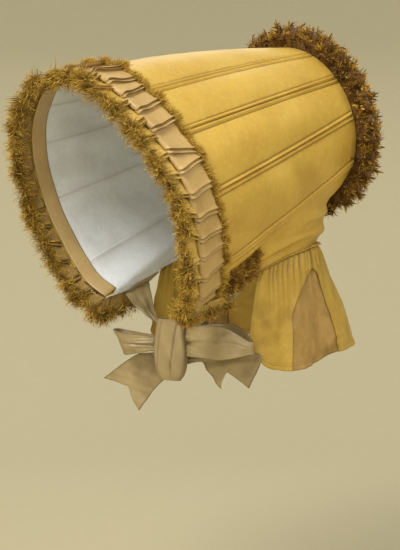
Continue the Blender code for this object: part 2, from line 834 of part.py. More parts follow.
def bow_axes():
    """Middle of the knot, the way along the bow, and the way it faces."""
    yaw = math.radians(BOW_YAW)
    middle = Vector((0.0, -KNOT_BACK, -KNOT_DOWN))
    along = Vector((math.cos(yaw), math.sin(yaw), 0.0))
    face = Vector((math.sin(yaw), -math.cos(yaw), 0.0))
    return middle, along, face


def bow_point(out, up, ahead):
    """Point of the bow, in metres from the middle of the knot."""
    middle, along, face = bow_axes()
    return middle + along * out + Vector((0.0, 0.0, up)) + face * ahead


def loop_path(table):
    """Rows of a flat loop in metres: the front layer, the turn at its end and the back layer."""
    front = [[v * RIBBON_WIDE for v in row] for row in table]
    for row in front:
        row[0] += KNOT_SIDE
        row[2] += KNOT_SIDE
    low_out, low_up, high_out, high_up, ahead = front[-1]
    out, back = LOOP_TURN[0] * RIBBON_WIDE, LOOP_TURN[1] * RIBBON_WIDE
    turned = [low_out + out, low_up, high_out + out, high_up, ahead - back]
    rest = [row[:4] + [-LOOP_BACK * RIBBON_WIDE - row[4] * LOOP_BACK_SHARE] for row in reversed(front)]
    return front + [turned] + rest


def make_loop(name, table, side, look):
    """Flat loop of ribbon, with its wall inside its path."""
    outer = []
    inner = []
    path = loop_path(table)
    for at, (low_out, low_up, high_out, high_up, ahead) in enumerate(path):
        before = path[max(at - 1, 0)]
        after = path[min(at + 1, len(path) - 1)]
        step_out = (after[0] + after[2] - before[0] - before[2]) / 2.0
        step_ahead = after[4] - before[4]
        size = math.hypot(step_out, step_ahead)
        in_out, in_ahead = step_ahead / size * RIBBON_WALL, step_out / size * RIBBON_WALL
        outer_row = []
        inner_row = []
        for part in LOOP_ACROSS:
            out = low_out + (high_out - low_out) * part
            up = low_up + (high_up - low_up) * part
            bent = ahead + LOOP_BEND * RIBBON_WIDE * math.sin(part * math.pi)
            outer_row.append(bow_point(side * out, up, bent))
            inner_row.append(bow_point(side * (out + in_out), up, bent - in_ahead))
        outer.append(outer_row)
        inner.append(inner_row)
    return two_skins(name, outer, inner, look)


def make_tail(name, table, notch, side, look):
    """Ribbon tail from behind the knot, with a V cut at its end."""
    outer = []
    inner = []
    behind = KNOT_DEEP / 2.0 + GAP
    for at, (low_out, low_up, high_out, high_up, ahead) in enumerate(table):
        outer_row = []
        inner_row = []
        for part in TAIL_ACROSS:
            out = low_out + (high_out - low_out) * part
            up = low_up + (high_up - low_up) * part
            if at == len(table) - 1:
                pull = 1.0 - abs(part - 0.5) * 2.0
                out += (notch[0] - (low_out + high_out) / 2.0) * pull
                up += (notch[1] - (low_up + high_up) / 2.0) * pull
            wave = TAIL_BEND * math.sin(part * math.pi * 2.0) if at else 0.0
            depth = (ahead + wave) * RIBBON_WIDE - behind
            outer_row.append(bow_point(side * out * RIBBON_WIDE, up * RIBBON_WIDE, depth))
            inner_row.append(bow_point(side * out * RIBBON_WIDE, up * RIBBON_WIDE, depth - RIBBON_WALL))
        outer.append(outer_row)
        inner.append(inner_row)
    return two_skins(name, outer, inner, look)


def make_knot(look):
    """Knot: a flat wound band of ribbon."""
    points = []
    for level, wide, deep in KNOT_LEVELS:
        for number in range(KNOT_SIDES):
            angle = 2.0 * math.pi * number / KNOT_SIDES
            across, ahead = math.cos(angle), math.sin(angle)
            out = KNOT_WIDE / 2.0 * wide * math.copysign(abs(across) ** KNOT_SQUARE[0], across)
            depth = KNOT_DEEP / 2.0 * deep * math.copysign(abs(ahead) ** KNOT_SQUARE[1], ahead)
            points.append(bow_point(out, level * KNOT_TALL, depth))
    rows = len(KNOT_LEVELS)
    faces = skin_faces(rows, KNOT_SIDES, 0, True)
    faces.append(tuple(range(KNOT_SIDES)))
    faces.append(tuple((rows - 1) * KNOT_SIDES + k for k in range(KNOT_SIDES)))
    return add_mesh("bow_knot", points, faces, look)


def make_tie(side, middles, name, look):
    """Ribbon from inside the neck edge down to the back of the knot."""
    inside = -WALL / 2.0 - LINING_GAP - LINING_WALL - TIE_CLEAR
    tops = [wall_point(side * turn, TIE_TOP_SHARE, inside) for turn in TIE_TURNS]
    edges = [wall_point(side * turn, TIE_EDGE_SHARE, inside - TIE_EDGE_IN) for turn in TIE_TURNS]
    behind = -KNOT_DEEP / 2.0 - GAP
    ends = [bow_point(side * out * RIBBON_WIDE, up * RIBBON_WIDE, behind) for out, up in TIE_END]
    mids = [
        bow_point(side * out * RIBBON_WIDE, up * RIBBON_WIDE, ahead * RIBBON_WIDE)
        for out, up, ahead in middles
    ]
    rows = [tops]
    for step in range(TIE_STEPS):
        part = step / (TIE_STEPS - 1)
        rows.append([
            edges[k].lerp(mids[k], part).lerp(mids[k].lerp(ends[k], part), part) for k in (0, 1)
        ])
    face = bow_axes()[2]
    outer = []
    inner = []
    for number, (front, back) in enumerate(rows):
        part = max(number - 1, 0) / (TIE_STEPS - 1)
        inward = Vector((-side, 0.0, 0.0)).lerp(-face, part).normalized()
        row = [front.lerp(back, k / (TIE_ACROSS - 1)) for k in range(TIE_ACROSS)]
        outer.append(row)
        inner.append([p + inward * RIBBON_WALL for p in row])
    return two_skins(name, outer, inner, look)


def main():
    """Build every piece."""
    for old in list(bpy.data.objects):
        bpy.data.objects.remove(old, do_unlink=True)
    gold = lambda name: material(name, (0.60, 0.38, 0.10), 0.45)
    tan = lambda name: material(name, (0.45, 0.31, 0.16), 0.40)
    make_shell(gold("crown_shell_silk"))
    make_tip(gold("crown_tip_silk"))
    make_lining(material("lining_silk", (0.62, 0.60, 0.54), 0.7))
    make_binding(tan("binding_satin"))
    make_ruche(material("ruche_silk", (0.42, 0.28, 0.12), 0.55))
    make_frill(material("frill_silk", (0.52, 0.34, 0.09), 0.55))
    make_crown_ruche(material("crown_ruche_silk", (0.20, 0.10, 0.03), 0.7))
    make_neck_trim(1.0, "neck_trim_left", material("neck_trim_left_silk", (0.30, 0.18, 0.07), 0.6))
    make_neck_trim(-1.0, "neck_trim_right", material("neck_trim_right_silk", (0.30, 0.18, 0.07), 0.6))
    make_curtain(gold("curtain_silk"), tan("curtain_inset_silk"))
    satin = lambda name: material(name, (0.38, 0.29, 0.18), 0.35)
    make_loop("bow_loop_left", LOOP_LEFT, -1.0, satin("loop_left_satin"))
    make_loop("bow_loop_right", LOOP_RIGHT, 1.0, satin("loop_right_satin"))
    make_tail("bow_tail_left", TAIL_LEFT, TAIL_LEFT_NOTCH, -1.0, satin("tail_left_satin"))
    make_tail("bow_tail_right", TAIL_RIGHT, TAIL_RIGHT_NOTCH, 1.0, satin("tail_right_satin"))
    make_knot(satin("knot_satin"))
    make_tie(1.0, TIE_LEFT_MID, "tie_left", satin("tie_left_satin"))
    make_tie(-1.0, TIE_RIGHT_MID, "tie_right", satin("tie_right_satin"))


main()
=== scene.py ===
"""Looks of the gold silk bonnet: fine cloth, ruches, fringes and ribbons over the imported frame.

Metres, +Z up. The wearer faces -Y and the wearer's left is +X. Lengths are measured first from
the middle of the rear edge and are then moved to the origin, as in the model's source.
"""

import bpy
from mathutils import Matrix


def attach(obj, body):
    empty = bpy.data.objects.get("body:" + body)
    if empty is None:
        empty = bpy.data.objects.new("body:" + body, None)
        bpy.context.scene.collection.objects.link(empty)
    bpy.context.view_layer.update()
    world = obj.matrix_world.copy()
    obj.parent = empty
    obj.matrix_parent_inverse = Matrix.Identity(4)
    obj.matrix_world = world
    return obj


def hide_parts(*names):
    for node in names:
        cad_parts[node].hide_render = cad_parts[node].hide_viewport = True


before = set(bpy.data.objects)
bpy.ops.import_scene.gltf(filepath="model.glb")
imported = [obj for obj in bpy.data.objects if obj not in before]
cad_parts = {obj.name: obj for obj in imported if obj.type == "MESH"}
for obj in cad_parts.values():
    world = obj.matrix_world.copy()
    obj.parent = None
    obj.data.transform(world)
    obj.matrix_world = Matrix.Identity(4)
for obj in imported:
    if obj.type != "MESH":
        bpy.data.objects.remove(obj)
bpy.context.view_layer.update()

import bpy
import math
import numpy as np
from mathutils import Vector

# Sizes of the solids, as in the model's source
GAP = 0.0003
REAR_HALF = 0.078
REAR_LEAN = 17.0
REAR_BACK = -0.012
REAR_UP = -0.007
BRIM_HALF = 0.1115
BRIM_TALL = 0.216
BRIM_TOP_UP = 0.028
BRIM_LEAN_RUN = 0.086
BODY_LONG = 0.299
NECK_HALF = 0.076
WALL = 0.0022
LINING_WALL = 0.0010
LINING_GAP = 0.00045
PANEL_PUFF = 0.0045
NAPE_PUFF = 0.0040
BARREL = 0.0015
CORD_HIGH = 0.0016
SEAT_SHARE = 0.36
CORNER_TURN = 129.0
NECK_COLUMN = 136.0
FRONT_CORNER = 135.0
BINDING_WIDE = 0.016
RUCHE_WIDE = 0.027
RUCHE_FRINGE = 0.009
FRILL_WIDE = 0.020
FRILL_FRINGE = 0.011
FRILL_INWARD = 0.12
WRAP_TURN = 6.5
WRAP_LEFT = 0.62
WRAP_RIGHT = 1.05
WRAP_SWING = 0.6
WRAP_SLIDE = 0.45
WRAP_CREEP = 0.02
PLEATS = 30
CROWN_RUCHE_LONG = 0.028
CURTAIN_DROP = 0.249
CURTAIN_SEAM = 0.0010
CURTAIN_LIFT = WALL / 2.0 + GAP
CURTAIN_FLARE = 1.35
CURTAIN_CENTRE = 0.25
CURTAIN_START = 146.0
HEADING_HIGH = 0.0045
INSET_SHARE = 0.67
INSET_MEET = 0.57
RIBBON_WIDE = 0.050
TIP_DOME = 0.007
NECK_TRIM_CLEAR = (5.0, 0.8)
NECK_TRIM_TOP_TURN = 127.0
NECK_TRIM_TOP_SHARES = (0.82, 0.645)
BRIM = (
    (0.0, 0.000, 0.000, 0.000),
    (14.0, 0.340, 0.012, 0.023),
    (28.0, 0.610, 0.081, 0.120),
    (42.0, 0.807, 0.192, 0.232),
    (57.0, 0.942, 0.337, 0.361),
    (72.0, 1.000, 0.471, 0.477),
    (86.0, 0.995, 0.581, 0.593),
    (100.0, 0.942, 0.698, 0.708),
    (114.0, 0.852, 0.808, 0.824),
    (126.0, 0.745, 0.905, 0.915),
    (135.0, 0.570, 0.980, 0.972),
)
NECK = (
    (135.0, 0.836, 0.7181, 0.972),
    (141.0, 0.895, 0.5719, 0.926),
    (147.0, 0.908, 0.4833, 0.861),
    (155.0, 0.868, 0.3679, 0.806),
    (163.0, 0.763, 0.2140, 0.759),
    (171.0, 0.526, 0.0903, 0.736),
    (180.0, 0.000, 0.0334, 0.731),
)
FAN = (
    (0.0, 0.0),
    (28.0, 28.0),
    (57.0, 48.0),
    (86.0, 80.0),
    (122.0, 117.0),
    (129.0, 135.0),
    (136.0, 141.0),
    (143.0, 147.0),
    (152.0, 155.0),
    (162.0, 163.0),
    (180.0, 180.0),
)
RIB_TURNS = (28.0, 57.0, 86.0, 122.0)
HEM = (
    (0.00, 0.921, 0.4850, 0.880),
    (0.06, 0.974, 0.4400, 0.965),
    (0.14, 1.026, 0.3900, 0.992),
    (0.33, 1.079, 0.3177, 1.000),
    (0.52, 1.092, 0.2100, 0.975),
    (0.67, 1.053, 0.1271, 0.948),
    (0.80, 0.850, -0.0100, 0.936),
    (0.90, 0.500, -0.0950, 0.932),
    (1.00, 0.000, -0.1350, 0.930),
)
INSET_OPEN = (
    (0.17, 0.00),
    (0.22, 0.28),
    (0.34, 0.48),
    (0.60, 0.74),
    (1.00, 1.00),
)
LOOP_LEFT = (
    (0.00, -0.10, 0.00, 0.22, 0.00),
    (0.34, -0.12, 0.24, 0.24, 0.16),
    (0.62, -0.15, 0.66, 0.27, 0.19),
    (0.78, 0.06, 1.02, 0.30, 0.05),
)
LOOP_RIGHT = (
    (0.00, -0.12, 0.00, 0.46, 0.00),
    (0.44, -0.10, 0.48, 0.52, 0.20),
    (0.92, -0.10, 0.90, 0.55, 0.26),
    (1.24, -0.04, 1.17, 0.46, 0.20),
    (1.44, 0.02, 1.44, 0.27, 0.03),
)
LOOP_BACK = 0.10
LOOP_BACK_SHARE = 0.35
LOOP_TURN = (0.05, 0.07)
TAIL_LEFT = (
    (0.06, -0.46, 0.18, -0.03, 0.00),
    (0.56, -0.86, 0.98, -0.20, -0.06),
    (0.92, -1.32, 1.82, -0.74, -0.04),
)
TAIL_LEFT_NOTCH = (1.20, -0.86)
TAIL_RIGHT = (
    (0.06, -0.36, 0.18, -0.03, 0.00),
    (0.55, -0.24, 1.80, 0.02, -0.08),
    (0.68, -0.38, 1.90, -0.10, -0.07),
    (1.00, -0.72, 1.62, -0.66, -0.08),
)
TAIL_RIGHT_NOTCH = (1.12, -0.38)
KNOT_TALL = 0.058
KNOT_WIDE = 0.035
KNOT_DEEP = 0.015
KNOT_BACK = 0.1827
KNOT_DOWN = 0.229
KNOT_LEVELS = (
    (-0.52, 0.62, 0.50),
    (-0.36, 0.92, 0.85),
    (-0.05, 1.05, 1.00),
    (0.25, 0.95, 1.00),
    (0.50, 0.86, 0.70),
)
KNOT_SIDE = KNOT_WIDE / 2.0 * max(wide for _, wide, _ in KNOT_LEVELS) + GAP
KNOT_SQUARE = (0.5, 0.7)
BOW_YAW = 15.0
TIE_END = ((0.08, 0.30), (0.20, 0.10))
TIE_TURNS = (133.0, 140.0)
TIE_TOP_SHARE = 0.93
TIE_EDGE_SHARE = 1.01
TIE_EDGE_IN = 0.0012
TIE_CLEAR = 0.0006
TIE_LEFT_MID = ((0.95, 0.62, -0.36), (1.15, 0.85, -0.40))
TIE_RIGHT_MID = ((0.80, 0.56, -0.17), (0.80, 0.68, -0.48))

# Sizes of the looks
SEED = 7
PLEAT_TALL = 0.0042
STITCH_PITCH = 0.0024
WEAVE = 0.0006
RUCHE_THREADS = 14000
FRILL_THREADS = 20000
CROWN_THREADS = 5400
CROWN_LEAVES = 4200
NECK_THREADS = 4600
NECK_LEAVES = 700
HEM_DEEP = 0.135
GATHERS = 26
HEADING_WAVE = 0.0013
SOFT_WAVE = 0.0022
PANEL_SLIT = 0.004
TUCK = 0.016
SEAM_LOW = 0.290
SEAM_OPEN = ((0.17, 0.0), (0.25, 0.36), (0.36, 0.70), (0.52, 0.93), (1.0, 1.0))
SEAM_HIGH = 0.525
CAMERA_PLACE = (0.9605, -0.8501, -0.1262)
CAMERA_TILT = 86.0
CAMERA_TURN = 49.0
CAMERA_LENS = 85.1
FLOOR_DOWN = 0.60
LIGHTS = (
    ("key", (0.55, -1.9, 1.75), (0.0, -0.02, -0.15), 1.3, 62.0, (1.0, 0.97, 0.90)),
    ("side", (2.0, 0.2, 0.9), (0.0, 0.0, -0.15), 1.6, 10.0, (1.0, 0.96, 0.90)),
    ("back", (-1.6, 1.3, 1.4), (0.0, 0.0, -0.1), 1.4, 10.0, (1.0, 0.97, 0.92)),
    ("fill", (1.5, -1.55, 0.15), (0.0, -0.05, -0.17), 1.6, 15.0, (1.0, 0.97, 0.92)),
)
# Lean, width share and waves of the crown ruche's rows
CROWN_ROWS = ((2.0, 0.52, 24), (27.0, 0.84, 27), (54.0, 0.88, 31), (78.0, 0.72, 27))

# One pleat of the ruches along the edge: share of the pitch, share of the height.
# The cloth folds back under itself twice in each pitch.
PLEAT_FORM = (
    (0.000, 0.08),
    (0.140, 0.20),
    (0.300, 0.32),
    (0.460, 0.44),
    (0.590, 0.60),
    (0.670, 0.92),
    (0.712, 1.00),
    (0.700, 0.78),
    (0.640, 0.40),
    (0.660, 0.26),
    (0.760, 0.40),
    (0.850, 0.80),
    (0.892, 0.92),
    (0.880, 0.68),
    (0.805, 0.34),
    (0.840, 0.12),
    (0.930, 0.06),
)


# Shape of the body

def blend(table, key):
    """Smooth values of a table whose first column is the key."""
    last = len(table) - 1
    at = 0
    while at < last - 1 and key > table[at + 1][0]:
        at += 1
    low, high = table[at], table[at + 1]
    span = high[0] - low[0]
    part = min(max((key - low[0]) / span, 0.0), 1.0)
    before = table[at - 1] if at > 0 else low
    after = table[at + 2] if at + 2 <= last else high
    values = []
    for col in range(1, len(low)):
        rise_low = (high[col] - before[col]) / (high[0] - before[0]) * span
        rise_high = (after[col] - low[col]) / (after[0] - low[0]) * span
        values.append(
            (2 * part ** 3 - 3 * part ** 2 + 1) * low[col]
            + (part ** 3 - 2 * part ** 2 + part) * rise_low
            + (3 * part ** 2 - 2 * part ** 3) * high[col]
            + (part ** 3 - part ** 2) * rise_high
        )
    return values


def straight(table, key):
    """Values of a two-column table, joined by straight lines."""
    for low, high in zip(table, table[1:]):
        if key <= high[0]:
            part = (key - low[0]) / (high[0] - low[0])
            return low[1] + (high[1] - low[1]) * part
    return table[-1][1]


def folded(turn):
    """Turn and side: 0 to 180 degrees from the top, and +1 for the wearer's left."""
    turn = (turn + 180.0) % 360.0 - 180.0
    return abs(turn), 1.0 if turn >= 0.0 else -1.0


def rear_point(turn, share=1.0, behind=0.0):
    """Point of the rear edge, in the plane that leans with its top forward."""
    angle = math.radians(turn)
    lean = math.radians(REAR_LEAN)
    up = REAR_HALF * share * math.cos(angle)
    return np.array((
        REAR_HALF * share * math.sin(angle),
        REAR_BACK - up * math.sin(lean) + behind * math.cos(lean),
        REAR_UP + up * math.cos(lean) + behind * math.sin(lean),
    ))


def rear_plane(angle, radius, behind):
    """Points round the rear edge's middle, in its leaning plane and behind it."""
    lean = math.radians(REAR_LEAN)
    up = radius * np.cos(angle)
    return np.stack(np.broadcast_arrays(
        radius * np.sin(angle),
        REAR_BACK - up * math.sin(lean) + behind * math.cos(lean),
        REAR_UP + up * math.cos(lean) + behind * math.sin(lean)), axis=-1)


def front_point(turn):
    """Point of the brim edge, or of the neck edge past the corner."""
    turn, side = folded(turn)
    if turn <= FRONT_CORNER:
        out, back, down = blend(BRIM, turn)
        return np.array((
            side * out * BRIM_HALF,
            back * BRIM_LEAN_RUN - BODY_LONG,
            BRIM_TOP_UP - down * BRIM_TALL,
        ))
    out, ahead, down = blend(NECK, turn)
    return np.array((side * out * NECK_HALF, -ahead * BODY_LONG, BRIM_TOP_UP - down * BRIM_TALL))


def puff_share(turn):
    """Swell of the panel at a turn, before its fade to the two ends."""
    size = folded(turn)[0]
    stops = (-RIB_TURNS[0],) + RIB_TURNS + (360.0 - RIB_TURNS[-1],)
    for low, high in zip(stops, stops[1:]):
        if low <= size <= high:
            part = (size - low) / (high - low)
            tall = NAPE_PUFF if low == RIB_TURNS[-1] else PANEL_PUFF
            return BARREL + tall * 4.0 * part * (1.0 - part)
    return 0.0


def unit(vectors):
    """Vectors of length one."""
    return vectors / np.maximum(np.linalg.norm(vectors, axis=-1, keepdims=True), 1e-12)


def read_grid(grid, rows, cols):
    """Values of a grid between its points."""
    i = np.clip(np.floor(rows).astype(int), 0, grid.shape[0] - 2)
    j = np.clip(np.floor(cols).astype(int), 0, grid.shape[1] - 2)
    a = (rows - i)[..., None]
    b = (cols - j)[..., None]
    return (
        grid[i, j] * (1 - a) * (1 - b) + grid[i + 1, j] * a * (1 - b)
        + grid[i, j + 1] * (1 - a) * b + grid[i + 1, j + 1] * a * b
    )


TURN_LOW, TURN_STEP = -195.0, 0.5
SHARE_LOW, SHARE_STEP = -0.05, 0.01


def wall_grids():
    """Points and outward directions of the puffed wall, over turns and shares."""
    turns = np.arange(TURN_LOW, -TURN_LOW + 0.01, TURN_STEP)
    shares = np.arange(SHARE_LOW, 1.151, SHARE_STEP)
    rear = np.array([rear_point(t) for t in turns])
    front = []
    for turn in turns:
        size, side = folded(turn)
        front.append(front_point(side * straight(FAN, size)))
    front = np.array(front)
    plain = rear[:, None] + (front - rear)[:, None] * shares[None, :, None]

    def outward(points):
        along = np.gradient(points, axis=1)
        around = np.gradient(points, axis=0)
        return unit(np.cross(along, around))

    swell = np.sin(np.pi * np.clip(shares, 0.0, 1.0))
    puffs = np.array([puff_share(t) for t in turns])
    points = plain + outward(plain) * (puffs[:, None] * swell[None, :])[..., None]
    lengths = np.linalg.norm(front - rear, axis=1)
    return points, outward(points), lengths, turns


POINTS, NORMALS, LINE_LONG, TURNS = wall_grids()


def wall(turn, share, lift=0.0):
    """Points of the body, lifted outward from the middle of the wall."""
    turn, share, lift = np.broadcast_arrays(
        np.asarray(turn, float), np.asarray(share, float), np.asarray(lift, float))
    rows = (turn - TURN_LOW) / TURN_STEP
    cols = (share - SHARE_LOW) / SHARE_STEP
    normal = unit(read_grid(NORMALS, rows, cols))
    return read_grid(POINTS, rows, cols) + normal * lift[..., None]


def wall_normal(turn, share):
    """Outward directions of the body."""
    turn, share = np.broadcast_arrays(np.asarray(turn, float), np.asarray(share, float))
    rows = (turn - TURN_LOW) / TURN_STEP
    return unit(read_grid(NORMALS, rows, (share - SHARE_LOW) / SHARE_STEP))


def line_long(turn):
    """Length of the body along one generator."""
    return np.interp(turn, TURNS, LINE_LONG)


SHIFT = -wall(0.0, SEAT_SHARE, -WALL / 2.0 - LINING_GAP - LINING_WALL)


# Noise, the same each run

RNG = np.random.default_rng(SEED)
WAVES = [(RNG.normal(size=3), RNG.uniform(0, 2 * np.pi)) for _ in range(40)]


def ripple(points, size, first=0, count=8):
    """Smooth noise about -1 to 1 over points, with features of about that size in metres."""
    total = np.zeros(points.shape[:-1])
    for direction, phase in WAVES[first:first + count]:
        total += np.sin(points @ direction * (2.2 / size) + phase)
    return total / math.sqrt(count / 2.0) / 1.6


def ripple_at(values, size, first=0, count=6):
    """Smooth noise about -1 to 1 over one number."""
    total = np.zeros(np.shape(values))
    for direction, phase in WAVES[first:first + count]:
        total += np.sin(np.asarray(values) * (2.2 / size) * (0.5 + abs(direction[0])) + phase)
    return total / math.sqrt(count / 2.0) / 1.6


# Meshes

def mesh_object(name, verts, faces, looks, uvs=None, tones=None):
    """A mesh piece that rides on the part, moved to the origin."""
    mesh = bpy.data.meshes.new(name)
    mesh.from_pydata((np.asarray(verts) + SHIFT).tolist(), [], np.asarray(faces).tolist())
    corners = np.zeros(len(mesh.loops), dtype=np.int64)
    mesh.loops.foreach_get("vertex_index", corners)
    for title, values in (uvs or {}).items():
        layer = mesh.uv_layers.new(name=title)
        layer.data.foreach_set("uv", np.asarray(values, dtype=np.float32)[corners].ravel())
    # The tone attribute holds painted shade for the silk pieces (1 is unshaded), and each thread's own tone
    # with painted shade for the threads.
    if tones is not None:
        layer = mesh.color_attributes.new(name="tone", type="FLOAT_COLOR", domain="POINT")
        values = np.ones((len(verts), 4), dtype=np.float32)
        values[:, :3] = np.asarray(tones)[:, None]
        layer.data.foreach_set("color", values.ravel())
    mesh.polygons.foreach_set("use_smooth", [True] * len(mesh.polygons))
    for look in looks:
        mesh.materials.append(look)
    obj = bpy.data.objects.new(name, mesh)
    bpy.context.collection.objects.link(obj)
    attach(obj, "root")
    return obj


def grid_faces(rows, cols, start=0):
    """Quads of a grid of points."""
    index = start + np.arange(rows * cols).reshape(rows, cols)
    return np.stack(
        [index[:-1, :-1], index[:-1, 1:], index[1:, 1:], index[1:, :-1]], axis=-1
    ).reshape(-1, 4)


def cloth_uv(points):
    """Distances in metres along the rows and down the columns of a grid."""
    across = np.linalg.norm(np.diff(points, axis=1), axis=-1)
    down = np.linalg.norm(np.diff(points, axis=0), axis=-1)
    u = np.concatenate([np.zeros((points.shape[0], 1)), np.cumsum(across, axis=1)], axis=1)
    v = np.concatenate([np.zeros((1, points.shape[1])), np.cumsum(down, axis=0)], axis=0)
    return np.stack([np.broadcast_to(u.mean(0), u.shape), v], axis=-1).reshape(-1, 2)


def paired(first, second):
    """Two grids of distances as one UV layer."""
    return np.stack(np.broadcast_arrays(first, second), axis=-1).reshape(-1, 2)


def sheet_object(name, points, looks, extra_uv, thick, tones=None):
    """A sheet of cloth over a grid of points, with its thickness."""
    rows, cols = points.shape[:2]
    uvs = {"cloth": cloth_uv(points)}
    uvs.update(extra_uv or {})
    obj = mesh_object(
        name, points.reshape(-1, 3), grid_faces(rows, cols), looks, uvs,
        None if tones is None else tones.reshape(-1))
    if thick:
        solid = obj.modifiers.new("thickness", "SOLIDIFY")
        solid.thickness = thick
        solid.offset = 0.0
        if len(looks) > 1:
            solid.material_offset = 1
            solid.material_offset_rim = 1
    return obj


# Materials

def node(tree, kind, place=(0, 0), **values):
    """A shader node with its settings and input values."""
    made = tree.nodes.new(kind)
    made.location = place
    for key, value in values.items():
        if hasattr(made, key):
            setattr(made, key, value)
        else:
            made.inputs[key.replace("_", " ")].default_value = value
    return made


def mix_colour(tree, factor, first, second):
    """A colour mix; each argument is a socket or a value."""
    made = tree.nodes.new("ShaderNodeMix")
    made.data_type = "RGBA"
    for socket, value in ((made.inputs[0], factor), (made.inputs[6], first), (made.inputs[7], second)):
        if isinstance(value, bpy.types.NodeSocket):
            tree.links.new(value, socket)
        else:
            socket.default_value = value if isinstance(value, float) else (*value, 1.0)
    return made.outputs[2]


def maths(tree, kind, first, second=None, third=None):
    """A number worked out from sockets or values."""
    made = tree.nodes.new("ShaderNodeMath")
    made.operation = kind
    for socket, value in zip(made.inputs, (first, second, third)):
        if isinstance(value, bpy.types.NodeSocket):
            tree.links.new(value, socket)
        elif value is not None:
            socket.default_value = value
    return made.outputs[0]


def noise(tree, vector, scale, detail=4.0, rough=0.55):
    """Noise at a scale over a vector."""
    made = node(tree, "ShaderNodeTexNoise", Scale=scale, Detail=detail, Roughness=rough)
    tree.links.new(vector, made.inputs["Vector"])
    return made.outputs["Fac"]


def ramp(tree, value, low, high):
    """Value spread from 0 at low to 1 at high."""
    made = node(tree, "ShaderNodeMapRange")
    made.inputs["From Min"].default_value = low
    made.inputs["From Max"].default_value = high
    tree.links.new(value, made.inputs["Value"])
    return made.outputs["Result"]


def weave_height(tree, uv, pitch):
    """Plain weave: crossing waves over the cloth's own distances."""
    parts = tree.nodes.new("ShaderNodeSeparateXYZ")
    tree.links.new(uv, parts.inputs[0])
    rate = 2.0 * math.pi / pitch
    warp = maths(tree, "SINE", maths(tree, "MULTIPLY", parts.outputs[0], rate))
    weft = maths(tree, "SINE", maths(tree, "MULTIPLY", parts.outputs[1], rate))
    return maths(tree, "MULTIPLY", warp, weft)


def stitched_line(tree, off, along, reach, dashed, plain):
    """Row of stitches where off is near nothing: 1 on the thread, 0 away from it."""
    near = off if reach is None else maths(tree, "SUBTRACT", 1.0, ramp(tree, off, 0.0002, reach))
    dash = maths(tree, "SINE", maths(tree, "MULTIPLY", along, 2 * math.pi / STITCH_PITCH))
    dash = ramp(tree, dash, -0.2, 0.5)
    return maths(tree, "MULTIPLY", near, maths(tree, "ADD", maths(tree, "MULTIPLY", dash, dashed), plain))


